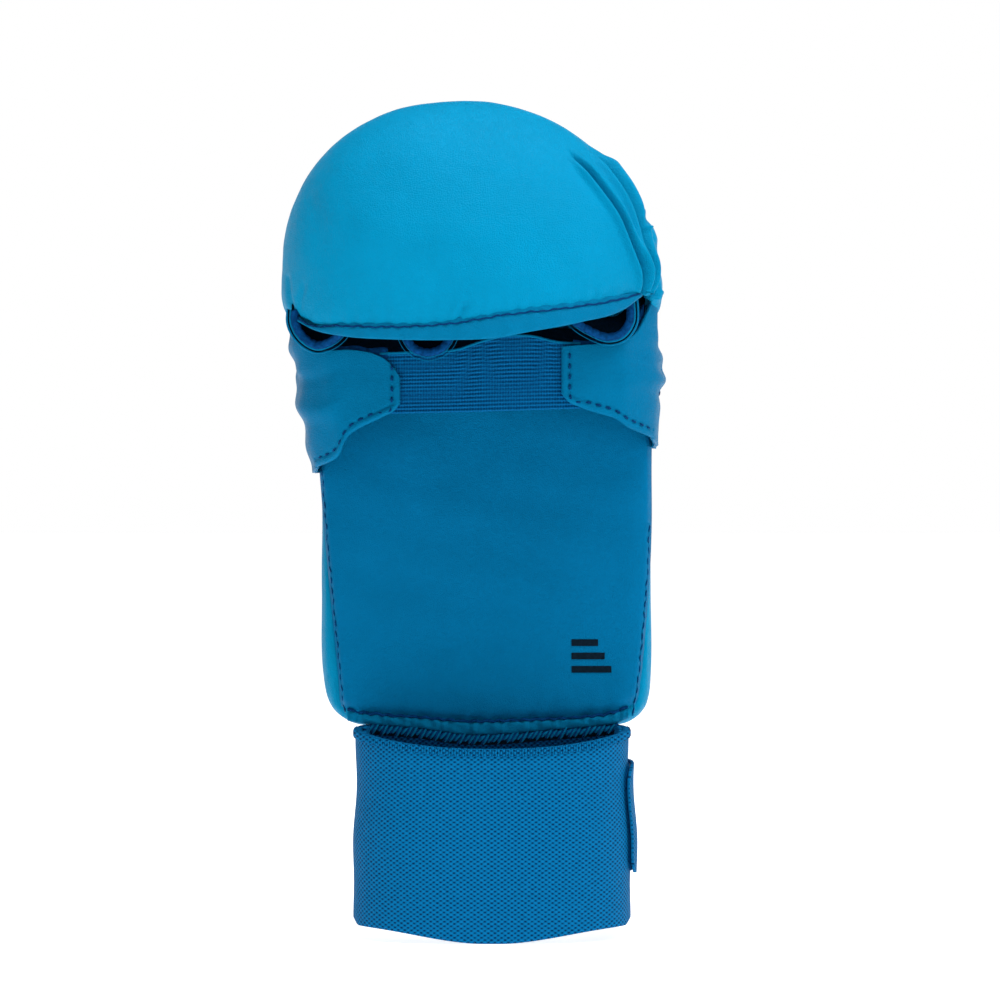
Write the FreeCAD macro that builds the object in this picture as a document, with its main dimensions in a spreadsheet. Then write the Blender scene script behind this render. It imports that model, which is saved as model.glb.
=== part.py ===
"""Padded karate mitt for the left or right fist, in millimetres, standing on its cuff.

+Z runs from the wrist to the knuckles, the palm faces -Y and the back of the hand faces +Y.
The origin is the middle of the footprint of the whole mitt, on the plane that the cuff rests on.
"""
import FreeCAD, Part
import Sketcher
import os

DIMENSIONS = {
    # wrist cuff, made of 60 mm woven elastic
    "cuff_height": 60.0, "cuff_left": -34.6, "cuff_right": 46.0, "cuff_front": -24.5, "cuff_rear": 27.5,
    "cuff_corner": 9.0, "elastic_thick": 1.8, "strap_axis_depth": 10.0, "seam_gap": 0.4,
    # hook-and-loop closure on the thumb side of the cuff
    "tab_low": 19.0, "tab_height": 32.0, "tab_thick": 1.2, "hook_thick": 0.9, "loop_thick": 1.0,
    "tab_front": -17.0, "tab_axis_depth": 13.0, "closure_gap": 0.25, "anchor_width": 5.0,
    "tab_corner": 6.0,
    # padded back of the hand
    "pad_rear": 39.0, "pad_front": 14.0, "pad_round": 11.0, "crease_height": 187.0,
    "wrist_left": -43.5, "wrist_right": 53.0, "wrist_height": 72.0, "wrist_chamfer": 7.0,
    "waist_left": -47.0, "waist_right": 53.6, "waist_height": 140.0,
    # padded fist cap
    "fist_half": 56.3, "fist_center": 190.3, "fist_rise": 56.5, "fist_depth": 44.0,
    "fist_front": -39.0, "fist_middle": 0.0, "hollow_half": 49.0, "hollow_rise": 33.0,
    "hollow_depth": 15.0, "hollow_middle": -1.0,
    "hem_left": 183.8, "hem_low": 174.2, "hem_right": 188.6, "hem_low_side": -10.0, "hem_strip": 4.6,
    "hem_wedge_front": -31.0, "hem_wedge_rear": -14.0, "hem_wedge_rise": 31.0, "facing_thick": 1.0,
    # knuckle crease, where the cap bends on the back pad
    "crease_axis_depth": 30.0, "crease_clear": 0.3, "open_angle": 22.0, "close_angle": 6.0,
    # palm wings and the elastic between them
    "wing_thick": 1.6, "wing_top": 169.3, "wing_face": -15.9, "wing_corner": 9.0, "wing_low": 139.0,
    "left_wing_side": -47.5, "right_wing_side": 51.5, "left_wing_lean": -6.0, "right_wing_lean": 3.0,
    "left_wing_edge": -20.6, "right_wing_edge": 26.0,
    "left_wing_shoulder": 155.0, "right_wing_shoulder": 155.5, "left_wing_foot": 139.0,
    "right_wing_foot": 144.0,
    "lining_strip": 0.8, "band_low": 154.5, "band_height": 17.0, "band_tuck": 5.0, "band_thick": 1.5,
    # cloth, leather and thread
    "cover_thick": 1.2, "lining_thick": 1.2, "thread": 0.6, "seam_inset": 4.0,
    "binding_depth": 2.2, "binding_height": 6.4, "binding_round": 0.9,
    # elastic finger loops under the hem
    "loop_band": 1.5, "loop_deep": 5.0, "outer_loop_front": -14.4, "inner_loop_front": -25.8,
    # plain bars printed on the lining
    "print_left": 30.0, "print_low": 77.0, "print_bar": 2.0, "print_pitch": 4.0, "print_width": 12.0,
    "print_thick": 0.15,
}

# Finger loops from the thumb side to the little finger: centre, outer radius, lowest point.
LOOPS = [
    {"center": -43.8, "radius": 8.0, "low": 172.9, "front": "outer_loop_front"},
    {"center": -12.0, "radius": 7.0, "low": 171.0, "front": "inner_loop_front"},
    {"center": 13.0, "radius": 7.0, "low": 174.5, "front": "inner_loop_front"},
    {"center": 38.0, "radius": 8.5, "low": 175.5, "front": "outer_loop_front"},
]

REACH = 80.0        # half length of the cutting blocks, larger than the mitt is wide
OVERLAP = 0.01      # how far two joined cutting blocks run into each other
TOUCH = 0.01        # two positions closer than this are the same
X_AXIS = FreeCAD.Vector(1, 0, 0)
Y_AXIS = FreeCAD.Vector(0, 1, 0)
Z_AXIS = FreeCAD.Vector(0, 0, 1)

doc = FreeCAD.newDocument("karate_mitt")
sheet = doc.addObject("Spreadsheet::Sheet", "size")
NODES = []


def fill_sheet():
    """Write each dimension as a plain number with its own alias."""
    for row, (alias, value) in enumerate(DIMENSIONS.items(), start=1):
        sheet.set(f"A{row}", alias)
        sheet.set(f"B{row}", str(value))
        sheet.setAlias(f"B{row}", alias)
    doc.recompute()


def bind(obj, **expressions):
    """Bind properties to the sheet; double underscores in a key stand for dots."""
    for key, text in expressions.items():
        path = key.replace("__", ".")
        obj.setExpression(path, sized(text))
    return obj


def sized(text):
    """Put the sheet's name before each alias in an expression."""
    words = []
    for word in text.split():
        words.append(f"size.{word}" if word in DIMENSIONS else word)
    return " ".join(words)


def as_node(obj, name):
    """Give a finished sub-part the label that names its node and its file."""
    obj.Label = name
    NODES.append(obj)
    return obj


def boolean(kind, name, base, tool):
    """Part::Cut, Part::Fuse or Part::Common of two objects."""
    result = doc.addObject(f"Part::{kind}", name)
    result.Base = base
    result.Tool = tool
    return result


def draw(sketch, points, closed):
    """Straight edges through points, each coordinate bound to an expression."""
    guess = [FreeCAD.Vector(value(x), value(y), 0) for x, y in points]
    count = len(points)
    last = count if closed else count - 1
    for i in range(last):
        sketch.addGeometry(Part.LineSegment(guess[i], guess[(i + 1) % count]))
    for i in range(last if closed else last - 1):
        sketch.addConstraint(Sketcher.Constraint("Coincident", i, 2, (i + 1) % last, 1))
    for i, (x, y) in enumerate(points):
        edge, end = (i, 1) if i < last else (last - 1, 2)
        pin(sketch, edge, end, x, y)


def pin(sketch, edge, end, x, y):
    """Place one sketch point by two named distances from the sketch's origin."""
    for kind, text in (("DistanceX", x), ("DistanceY", y)):
        index = sketch.addConstraint(Sketcher.Constraint(kind, -1, 1, edge, end, value(text)))
        sketch.setExpression(f"Constraints[{index}]", sized(text))


def value(text):
    """The present value of an expression, used as the sketch's first guess."""
    return float(sheet.evalExpression(sized(text)))


def plane_of(body, role):
    """One of a body's own origin planes."""
    return [item for item in body.Origin.OriginFeatures if item.Role == role][0]


def padded_body(name, role, points, offset, length):
    """A PartDesign body: one closed outline on an origin plane, padded by a length."""
    body = doc.addObject("PartDesign::Body", name)
    sketch = body.newObject("Sketcher::SketchObject", f"{name}_outline")
    sketch.AttachmentSupport = (plane_of(body, role), [""])
    sketch.MapMode = "FlatFace"
    bind(sketch, AttachmentOffset__Base__z=offset)
    draw(sketch, points, True)
    pad = body.newObject("PartDesign::Pad", f"{name}_pad")
    pad.Profile = sketch
    bind(pad, Length=length)
    doc.recompute()
    return body


def path_strip(name, points, thickness, height, lean, base):
    """A strip of cloth on edge: a path in the XY plane, thickened to one side and raised."""
    path = doc.addObject("Sketcher::SketchObject", f"{name}_path")
    draw(path, points, False)
    bind(path, Placement__Base__z=base)
    band = doc.addObject("Part::Offset2D", f"{name}_band")
    band.Source = path
    band.Mode = "Skin"
    band.Fill = True
    bind(band, Value=thickness)
    strip = doc.addObject("Part::Extrusion", name)
    strip.Base = band
    strip.DirMode = "Custom"
    strip.Dir = Z_AXIS
    strip.Solid = True
    bind(strip, Dir__x=lean, Dir__z=height, LengthFwd=f"sqrt( ( {lean} ) ^ 2 + ( {height} ) ^ 2 )")
    return strip


# ---------------------------------------------------------------- padded back of the hand

def pad_outline(inset):
    """Outline of the back pad seen from the palm, moved inwards by an inset."""
    return [
        (f"- fist_half + {inset}", "crease_height + 5"),
        (f"waist_left + {inset}", "waist_height"),
        (f"wrist_left + {inset}", "wrist_height"),
        (f"wrist_left + wrist_chamfer + {inset}", f"cuff_height + {inset}"),
        (f"wrist_right - wrist_chamfer - {inset}", f"cuff_height + {inset}"),
        (f"wrist_right - {inset}", "wrist_height"),
        (f"waist_right - {inset}", "waist_height"),
        (f"fist_half - {inset}", "crease_height + 5"),
    ]


def pad_block(name, inset, rear, front, rounding):
    """A slab of the back pad between two depths, with its rear rim rounded."""
    body = padded_body(name, "XZ_Plane", pad_outline(inset), f"- ( {rear} )", f"( {rear} ) - ( {front} )")
    if rounding:
        shape = body.Shape
        depth = value(rear)
        top = value("crease_height")
        rim = []
        for number, edge in enumerate(shape.Edges, start=1):
            box = edge.BoundBox
            if abs(box.YMin - depth) < TOUCH and abs(box.YMax - depth) < TOUCH and box.ZMin < top:
                rim.append(f"Edge{number}")
        slab = body.Tip
        fillet = body.newObject("PartDesign::Fillet", f"{name}_rim")
        fillet.Base = (slab, rim)
        bind(fillet, Radius=rounding)
        body.Tip = fillet
        doc.recompute()
    return body


def hand_zone():
    """The space under the knuckle crease, which slopes to leave room for the cap's swing."""
    points = [
        ("pad_front - 5", "0"),
        ("pad_rear + 5", "0"),
        ("pad_rear + 5", "crease_height - crease_clear"),
        ("crease_axis_depth", "crease_height - crease_clear"),
        ("pad_front - 5",
         "crease_height - crease_clear - ( crease_axis_depth - pad_front + 5 ) * tan( close_angle * 1deg )"),
    ]
    return padded_body("hand_zone", "YZ_Plane", points, f"- {REACH}", f"2 * {REACH}")


def make_back_pad():
    """Leather shell, foam slab and lining of the back of the hand."""
    zone = hand_zone()
    outer = pad_block("pad_outer", "0", "pad_rear", "pad_front", "pad_round")
    inner = pad_block("pad_inner", "cover_thick", "pad_rear - cover_thick", "pad_front - 1",
                      "pad_round - cover_thick")
    foam = pad_block("pad_foam", "cover_thick", "pad_rear - cover_thick", "pad_front + lining_thick",
                     "pad_round - cover_thick")
    lining = pad_block("pad_lining", "cover_thick", "pad_front + lining_thick", "pad_front", "")
    shell = boolean("Cut", "pad_shell", outer, inner)
    as_node(boolean("Common", "back_cover", shell, zone), "back_cover")
    as_node(boolean("Common", "back_foam", foam, zone), "back_foam")
    as_node(boolean("Common", "palm_lining", lining, zone), "palm_lining")


def thread_run(name, start, finish, step):
    """A sewn thread lying on the lining; step is the corner that gives the thread its width."""
    across, up = step
    points = [
        start,
        finish,
        (f"{finish[0]} + {across}", f"{finish[1]} + {up}"),
        (f"{start[0]} + {across}", f"{start[1]} + {up}"),
    ]
    as_node(padded_body(name, "XZ_Plane", points, "- pad_front", "thread"), name)


def make_lining_trim():
    """Side seams, wrist seam, wrist binding and the printed bars of the lining."""
    thread_run("lining_seam_left", ("waist_left + seam_inset", "waist_height - 2"),
               ("wrist_left + seam_inset", "wrist_height"), ("thread", "0"))
    thread_run("lining_seam_right", ("waist_right - seam_inset", "waist_height - 2"),
               ("wrist_right - seam_inset", "wrist_height"), ("- thread", "0"))
    thread_run("wrist_seam", ("wrist_left + wrist_chamfer + 2", "cuff_height + 5"),
               ("wrist_right - wrist_chamfer - 2", "cuff_height + 5"), ("0", "thread"))
    binding = doc.addObject("Part::Box", "wrist_binding_block")
    bind(binding, Length="cuff_right - cuff_left - 2 * elastic_thick - 2 * seam_gap", Width="binding_depth",
         Height="binding_height", Placement__Base__x="cuff_left + elastic_thick + seam_gap",
         Placement__Base__y="pad_front - binding_depth", Placement__Base__z="cuff_height - 2")
    doc.recompute()
    rounded = doc.addObject("Part::Fillet", "wrist_binding")
    rounded.Base = binding
    front = value("pad_front - binding_depth")
    radius = value("binding_round")
    edges = []
    for number, edge in enumerate(binding.Shape.Edges, start=1):
        box = edge.BoundBox
        if box.XLength > 1 and abs(box.YMin - front) < TOUCH:
            edges.append((number, radius, radius))
    rounded.Edges = edges
    as_node(rounded, "wrist_binding")
    bars = []
    for index in range(3):
        bar = doc.addObject("Part::Box", f"print_bar_{index + 1}")
        bind(bar, Length=f"print_width - {index} * print_bar", Width="print_thick", Height="print_bar",
             Placement__Base__x="print_left", Placement__Base__y="pad_front - print_thick",
             Placement__Base__z=f"print_low + {index} * print_pitch")
        bars.append(bar)
    printed = doc.addObject("Part::Compound", "lining_print")
    printed.Links = bars
    as_node(printed, "lining_print")


# ---------------------------------------------------------------- palm wings and palm elastic

def wing_points(label, sign):
    """Path of a wing from the pad's front edge, round the side of the hand, to its free edge."""
    side = f"{label}_wing_side"
    return [
        (side, "pad_front"),
        (side, "wing_face + wing_corner"),
        (f"{side} - {sign} * wing_corner * 0.3", "wing_face + wing_corner * 0.3"),
        (f"{side} - {sign} * wing_corner", "wing_face"),
        (f"{label}_wing_edge - {sign} * band_tuck", "wing_face"),
    ]


def wing_window(name, sign, edge, shoulder, foot, top):
    """Front outline of a wing: its diagonal lower edge, its free edge and its top."""
    outer = f"{sign} * ( fist_half + 4 )"
    points = [(outer, foot), (edge, shoulder), (edge, top), (outer, top)]
    return padded_body(name, "XZ_Plane", points, f"- {REACH}", f"2 * {REACH}")


def make_wings():
    """Two leather wings with their inner facings, and the elastic between them."""
    facing_top = "wing_top + 2 * lining_strip"
    height = f"{facing_top} - wing_low"
    for label, sign in (("left", -1), ("right", 1)):
        points = wing_points(label, sign)
        lean = f"{label}_wing_lean"
        edge = f"{label}_wing_edge"
        foot = f"{label}_wing_foot"
        leather = path_strip(f"wing_{label}_sheet", points, f"- {sign} * wing_thick", height, lean,
                             "wing_low")
        shoulder = f"{label}_wing_shoulder"
        window = wing_window(f"wing_{label}_window", sign, edge, shoulder, foot, "wing_top")
        as_node(boolean("Common", f"wing_{label}", leather, window), f"wing_{label}")
        strip = path_strip(f"facing_{label}_sheet", points, f"{sign} * lining_strip", height, lean,
                           "wing_low")
        opening = wing_window(f"facing_{label}_window", sign, f"{edge} + {sign} * lining_strip",
                              f"{shoulder} + 2 * lining_strip", foot, facing_top)
        as_node(boolean("Common", f"wing_facing_{label}", strip, opening), f"wing_facing_{label}")
    band = doc.addObject("Part::Box", "palm_band")
    bind(band, Length="right_wing_edge - left_wing_edge + 2 * band_tuck", Width="band_thick",
         Height="band_height", Placement__Base__x="left_wing_edge - band_tuck",
         Placement__Base__y="wing_face + lining_strip", Placement__Base__z="band_low")
    as_node(band, "palm_band")


# ---------------------------------------------------------------- padded fist cap

def cap_solid(name, half, depth, rise, middle, lowest):
    """Half an ellipsoid over an elliptic drum: the form of the cap and of its hollow."""
    crown = doc.addObject("Part::Ellipsoid", f"{name}_crown")
    bind(crown, Radius1=rise, Radius2=half, Radius3=depth, Placement__Base__y=middle,
         Placement__Base__z="fist_center")
    crown.Angle1 = 0
    crown.Angle2 = 90
    rim = doc.addObject("Part::Ellipse", f"{name}_rim")
    bind(rim, MajorRadius=half, MinorRadius=depth, Placement__Base__y=middle, Placement__Base__z=lowest)
    drum = doc.addObject("Part::Extrusion", f"{name}_drum")
    drum.Base = rim
    drum.DirMode = "Custom"
    drum.Dir = Z_AXIS
    drum.Solid = True
    bind(drum, LengthFwd=f"fist_center - ( {lowest} )")
    return boolean("Fuse", name, crown, drum)


def cap_block(name, inset):
    """The cap's outer form moved inwards by an inset, flattened at its front and back."""
    form = cap_solid(f"{name}_form", f"fist_half - {inset}", f"fist_depth - {inset}",
                     f"fist_rise - {inset}", "fist_middle", "hem_low - 10")
    slab = doc.addObject("Part::Box", f"{name}_slab")
    bind(slab, Length=f"2 * {REACH}", Width=f"2 * ( fist_middle - fist_front - {inset} )",
         Height=f"2 * {REACH}", Placement__Base__x=f"- {REACH}", Placement__Base__y=f"fist_front + {inset}",
         Placement__Base__z="hem_low - 20")
    return boolean("Common", name, form, slab)


def above_hem(name, lift):
    """Everything in front of the palm that lies above the curved hem, raised by a lift."""
    points = [
        ("- fist_half - 4", f"hem_left + 2 + {lift}"),
        ("- fist_half + 6", f"hem_left - 4 + {lift}"),
        ("hem_low_side - 22", f"hem_low + 0.5 + {lift}"),
        ("hem_low_side", f"hem_low + {lift}"),
        ("hem_low_side + 26", f"hem_low + 2.5 + {lift}"),
        ("fist_half + 4", f"hem_right + 1 + {lift}"),
        ("fist_half + 4", "fist_center + fist_rise + 5"),
        ("- fist_half - 4", "fist_center + fist_rise + 5"),
    ]
    return padded_body(name, "XZ_Plane", points, "- hem_wedge_rear", "hem_wedge_rear - fist_front + 8")


def above_crease():
    """Everything behind the hem that swings with the cap, clear of the back pad when it opens."""
    points = [
        (f"hem_wedge_rear - {OVERLAP}", "crease_height + crease_clear"),
        ("crease_axis_depth", "crease_height + crease_clear"),
        ("pad_rear + 8",
         "crease_height + crease_clear + ( pad_rear + 8 - crease_axis_depth ) * tan( open_angle * 1deg )"),
        ("pad_rear + 8", "fist_center + fist_rise + 5"),
        (f"hem_wedge_rear - {OVERLAP}", "fist_center + fist_rise + 5"),
    ]
    return padded_body("above_crease", "YZ_Plane", points, f"- {REACH}", f"2 * {REACH}")


def hem_wedge(name, width):
    """A slanted prism behind the hem where the padding thins: a slice of a width, or all of it."""
    slope = "( ( hem_wedge_rear - hem_wedge_front ) / hem_wedge_rise )"
    low = "hem_low - 12"
    top = "hem_low + hem_wedge_rise"
    start = f"hem_wedge_front - 12 * {slope}"
    finish = "hem_wedge_rear"
    if width:
        points = [(start, low), (f"{start} + {width}", low), (f"{finish} + {width}", top), (finish, top)]
    else:
        points = [(start, low), (f"{finish} + 12", low), (f"{finish} + 12", top), (finish, top)]
    return padded_body(name, "YZ_Plane", points, f"- {REACH}", f"2 * {REACH}")


def make_cap():
    """Leather cover, hem strip, foam, facing and lining of the fist cap."""
    zone = boolean("Fuse", "cap_zone", above_hem("hem_zone", "0"), above_crease())
    cover_zone = boolean("Fuse", "cover_zone", above_hem("seam_zone", "hem_strip"), above_rear_seam())
    outer = cap_block("cap_outer", "0")
    core = cap_block("cap_core", "cover_thick")
    hollow = cap_solid("hollow_form", "hollow_half", "hollow_depth", "hollow_rise", "hollow_middle",
                       "hem_low - 12")
    inner = cap_solid("hollow_inner", "hollow_half - lining_thick", "hollow_depth - lining_thick",
                      "hollow_rise - lining_thick", "hollow_middle", "hem_low - 14")
    shell = boolean("Cut", "cap_shell", outer, core)
    as_node(boolean("Common", "fist_cover", shell, cover_zone), "fist_cover")
    hem = boolean("Common", "hem_ring", shell, zone)
    as_node(boolean("Cut", "hem_binding", hem, cover_zone), "hem_binding")
    padding = boolean("Cut", "cap_padding", core, hollow)
    thinned = boolean("Cut", "thinned_padding", padding, hem_wedge("hem_wedge", ""))
    as_node(boolean("Common", "fist_foam", thinned, zone), "fist_foam")
    slope = boolean("Common", "facing_slope", padding, hem_wedge("facing_wedge", "facing_thick"))
    as_node(boolean("Common", "hem_facing", slope, zone), "hem_facing")
    skin = boolean("Cut", "hollow_skin", hollow, inner)
    as_node(boolean("Cut", "fist_lining", skin, lining_floor()), "fist_lining")


def above_rear_seam():
    """Everything behind the hem that lies above the seam between the cover and its lower strip."""
    block = doc.addObject("Part::Box", "cover_rear")
    bind(block, Length=f"2 * {REACH}", Width="pad_rear + 8 - hem_wedge_rear", Height="fist_rise + 20",
         Placement__Base__x=f"- {REACH}", Placement__Base__y=f"hem_wedge_rear - {OVERLAP}",
         Placement__Base__z="crease_height + crease_clear + hem_strip")
    return block


def lining_floor():
    """The space below the lining's lower edge."""
    floor = doc.addObject("Part::Box", "lining_floor")
    bind(floor, Length=f"2 * {REACH}", Width=f"2 * {REACH}", Height="60", Placement__Base__x=f"- {REACH}",
         Placement__Base__y=f"- {REACH}", Placement__Base__z="hem_low + hem_wedge_rise - 60")
    return floor


def make_finger_loops():
    """Half rings of bound elastic that hang under the hem, one for each finger."""
    for number, loop in enumerate(LOOPS, start=1):
        name = f"finger_loop_{number}"
        solids = []
        for part, trim, angle in (("outer", "0", 180), ("inner", "loop_band", 360)):
            ring = doc.addObject("Part::Cylinder", f"{name}_{part}")
            ring.Angle = angle
            ring.Placement.Rotation = FreeCAD.Rotation(X_AXIS, -90)
            bind(ring, Radius=f"{loop['radius']} - {trim}", Height="loop_deep",
                 Placement__Base__x=str(loop["center"]), Placement__Base__y=loop["front"],
                 Placement__Base__z=f"{loop['low']} + {loop['radius']}")
            solids.append(ring)
        as_node(boolean("Cut", name, solids[0], solids[1]), name)


# ---------------------------------------------------------------- wrist cuff

def make_cuff():
    """Rear elastic sewn to the pad, front strap that swings open, and the closure tab."""
    rear = [
        ("cuff_left", "strap_axis_depth + seam_gap + 1"),
        ("cuff_left", "cuff_rear - cuff_corner"),
        ("cuff_left + cuff_corner * 0.3", "cuff_rear - cuff_corner * 0.3"),
        ("cuff_left + cuff_corner", "cuff_rear"),
        ("cuff_right - cuff_corner", "cuff_rear"),
        ("cuff_right - cuff_corner * 0.3", "cuff_rear - cuff_corner * 0.3"),
        ("cuff_right", "cuff_rear - cuff_corner"),
        ("cuff_right", "strap_axis_depth + seam_gap + 1"),
    ]
    as_node(path_strip("strap_back", rear, "elastic_thick", "cuff_height", "0", "0"), "strap_back")
    front = [
        ("cuff_left", "strap_axis_depth"),
        ("cuff_left", "cuff_front + cuff_corner"),
        ("cuff_left + cuff_corner * 0.3", "cuff_front + cuff_corner * 0.3"),
        ("cuff_left + cuff_corner", "cuff_front"),
        ("cuff_right - cuff_corner / 2", "cuff_front"),
        ("cuff_right - cuff_corner * 0.15", "cuff_front + cuff_corner * 0.15"),
        ("cuff_right", "cuff_front + cuff_corner / 2"),
        ("cuff_right", "strap_axis_depth"),
    ]
    as_node(path_strip("strap_front", front, "- elastic_thick", "cuff_height", "0", "0"), "strap_front")


def side_plate(name, inner, thickness, front, rear):
    """A flat plate on the right side of the cuff, with its two front corners rounded."""
    plate = doc.addObject("Part::Box", f"{name}_plate")
    bind(plate, Length=thickness, Width=f"{rear} - ( {front} )", Height="tab_height",
         Placement__Base__x=inner, Placement__Base__y=front, Placement__Base__z="tab_low")
    doc.recompute()
    rounded = doc.addObject("Part::Fillet", name)
    rounded.Base = plate
    corner = value("tab_corner")
    face_front = value(front)
    edges = []
    for number, edge in enumerate(plate.Shape.Edges, start=1):
        box = edge.BoundBox
        if box.YLength < TOUCH and box.ZLength < TOUCH and abs(box.YMin - face_front) < TOUCH:
            edges.append((number, corner, corner))
    rounded.Edges = edges
    return as_node(rounded, name)


def make_closure():
    """Loop patch on the strap, and the tab that closes over it with its hook patch and sewn root."""
    side_plate("loop_patch", "cuff_right", "loop_thick", "tab_front + 1", "strap_axis_depth - 1")
    hook_side = "cuff_right + loop_thick + closure_gap"
    side_plate("hook_patch", hook_side, "hook_thick", "tab_front + 1", "strap_axis_depth")
    side_plate("closure_tab", f"{hook_side} + hook_thick", "tab_thick", "tab_front", "tab_axis_depth")
    anchor = doc.addObject("Part::Box", "tab_anchor")
    bind(anchor, Length="loop_thick + closure_gap + hook_thick + tab_thick", Width="anchor_width",
         Height="tab_height", Placement__Base__x="cuff_right",
         Placement__Base__y="tab_axis_depth + tab_thick", Placement__Base__z="tab_low")
    as_node(anchor, "tab_anchor")


def check_document():
    """Stop unless every object is sound and every sub-part is a valid solid."""
    doc.recompute()
    for obj in doc.Objects:
        if "Invalid" in obj.State or "Error" in obj.State:
            raise RuntimeError(f"{obj.Name} failed: {obj.State}")
    for node in NODES:
        shape = node.Shape
        if shape.isNull() or not shape.isValid() or not shape.Solids:
            raise RuntimeError(f"{node.Label} has no valid solid")


def write_parts():
    """Write one STEP file for each sub-part."""
    os.makedirs("parts", exist_ok=True)
    for node in NODES:
        node.Shape.exportStep(f"parts/{node.Label}.step")
        box = node.Shape.BoundBox
        print(f"{node.Label:20s} solids {len(node.Shape.Solids)} volume {node.Shape.Volume:9.1f} "
              f"x {box.XMin:6.1f}..{box.XMax:6.1f} y {box.YMin:6.1f}..{box.YMax:6.1f} "
              f"z {box.ZMin:6.1f}..{box.ZMax:6.1f}")


fill_sheet()
make_back_pad()
make_lining_trim()
make_wings()
make_cap()
make_finger_loops()
make_cuff()
make_closure()
check_document()
write_parts()
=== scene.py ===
"""A padded karate mitt seen from the palm side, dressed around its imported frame.

Shapes are worked out in millimetres and written to the meshes in metres.
"""
import math

import bmesh
import bpy
import numpy as np
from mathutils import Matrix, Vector
from mathutils.bvhtree import BVHTree


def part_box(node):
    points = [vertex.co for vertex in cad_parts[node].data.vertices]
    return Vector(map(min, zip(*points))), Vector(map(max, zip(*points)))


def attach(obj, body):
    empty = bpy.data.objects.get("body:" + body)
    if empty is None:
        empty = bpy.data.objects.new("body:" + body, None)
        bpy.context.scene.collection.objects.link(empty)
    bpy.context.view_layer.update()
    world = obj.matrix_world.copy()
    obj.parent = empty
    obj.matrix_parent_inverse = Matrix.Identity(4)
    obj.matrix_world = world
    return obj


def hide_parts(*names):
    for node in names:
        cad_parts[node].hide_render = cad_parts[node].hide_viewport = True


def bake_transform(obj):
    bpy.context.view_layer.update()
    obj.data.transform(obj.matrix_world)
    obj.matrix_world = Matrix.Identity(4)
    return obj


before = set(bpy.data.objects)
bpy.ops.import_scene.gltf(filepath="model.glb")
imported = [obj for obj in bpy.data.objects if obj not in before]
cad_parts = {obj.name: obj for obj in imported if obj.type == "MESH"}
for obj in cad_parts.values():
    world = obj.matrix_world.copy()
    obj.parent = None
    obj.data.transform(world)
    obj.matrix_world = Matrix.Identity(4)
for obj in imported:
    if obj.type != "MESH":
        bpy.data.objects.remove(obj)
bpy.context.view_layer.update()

SCENE = bpy.context.scene
MM = 0.001

# Distance in metres, outside the whole object, from which rays are cast onto a surface.
RAY_START = 0.2


# ------------------------------------------------------------------ sizes, in millimetres

def box_mm(node):
    """Lowest and highest corner of a CAD node."""
    low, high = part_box(node)
    return np.array(low) / MM, np.array(high) / MM


_, CAP_HIGH = box_mm("fist_cover")
PAD_LOW, PAD_HIGH = box_mm("back_cover")
BAND_LOW, BAND_HIGH = box_mm("palm_band")
CUFF_LOW, CUFF_HIGH = box_mm("strap_front")
_, REAR_HIGH = box_mm("strap_back")
TAB_LOW, TAB_HIGH = box_mm("closure_tab")
PRINT_LOW, PRINT_HIGH = box_mm("lining_print")

HALF = CAP_HIGH[0]
RISE = HALF
EQUATOR = CAP_HIGH[2] - RISE
DEPTH = CAP_HIGH[1]
PLAN_POWER = 2.35
HEM_TUCK = 0.05
HEM_DROP = 16.0
CREASE = PAD_HIGH[2]


# ------------------------------------------------------------------ curves and grids

def spline(points, at):
    """Smooth curve through a few (position, value) points, flat beyond its ends."""
    xs = np.array([p[0] for p in points], float)
    ys = np.array([p[1] for p in points], float)
    slopes = np.gradient(ys, xs)
    at = np.clip(np.asarray(at, float), xs[0], xs[-1])
    i = np.clip(np.searchsorted(xs, at) - 1, 0, len(xs) - 2)
    width = xs[i + 1] - xs[i]
    t = (at - xs[i]) / width
    h00 = 2 * t ** 3 - 3 * t ** 2 + 1
    h10 = t ** 3 - 2 * t ** 2 + t
    h01 = 3 * t ** 2 - 2 * t ** 3
    h11 = t ** 3 - t ** 2
    return h00 * ys[i] + h10 * width * slopes[i] + h01 * ys[i + 1] + h11 * width * slopes[i + 1]


def points_of(*parts):
    """Points from their separate coordinates, each spread to the same shape."""
    return np.stack(np.broadcast_arrays(*parts), axis=-1)


def unit(vectors):
    """Vectors scaled to a length of one."""
    return vectors / np.maximum(np.linalg.norm(vectors, axis=-1, keepdims=True), 1e-9)


def full_turn(count):
    """Evenly spaced angles once round."""
    return np.linspace(0, 2 * math.pi, count, endpoint=False)


def signed_power(value, power):
    """A power that keeps the sign of its base."""
    return np.sign(value) * np.abs(value) ** power


def rounded(turn, power):
    """Unit outline at each angle: an ellipse at a power of 2, nearer a box above it."""
    return signed_power(np.cos(turn), 2 / power), signed_power(np.sin(turn), 2 / power)


def running_total(steps):
    """Sum so far before each step and after the last."""
    return np.concatenate([[0], np.cumsum(steps)])


def distances(path):
    """How far along a path each of its points lies."""
    return running_total(np.linalg.norm(np.diff(path, axis=0), axis=1))


def spline3(along, points, at):
    """Smooth 3-D curve through points that lie at given distances."""
    return points_of(*(spline(list(zip(along, points[:, k])), at) for k in range(3)))


def path3(points, count):
    """Evenly spaced points on a smooth curve through a few 3-D points."""
    points = np.array(points, float)
    along = distances(points)
    return spline3(along, points, np.linspace(0, along[-1], count))


def smooth_step(low, high, at):
    """0 below low, 1 above high, smooth between."""
    t = np.clip((np.asarray(at, float) - low) / (high - low), 0, 1)
    return t * t * (3 - 2 * t)


def bell(away, width):
    """1 at no distance, falling smoothly to nothing over about twice the width."""
    return np.exp(-(away / width) ** 2)


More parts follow.
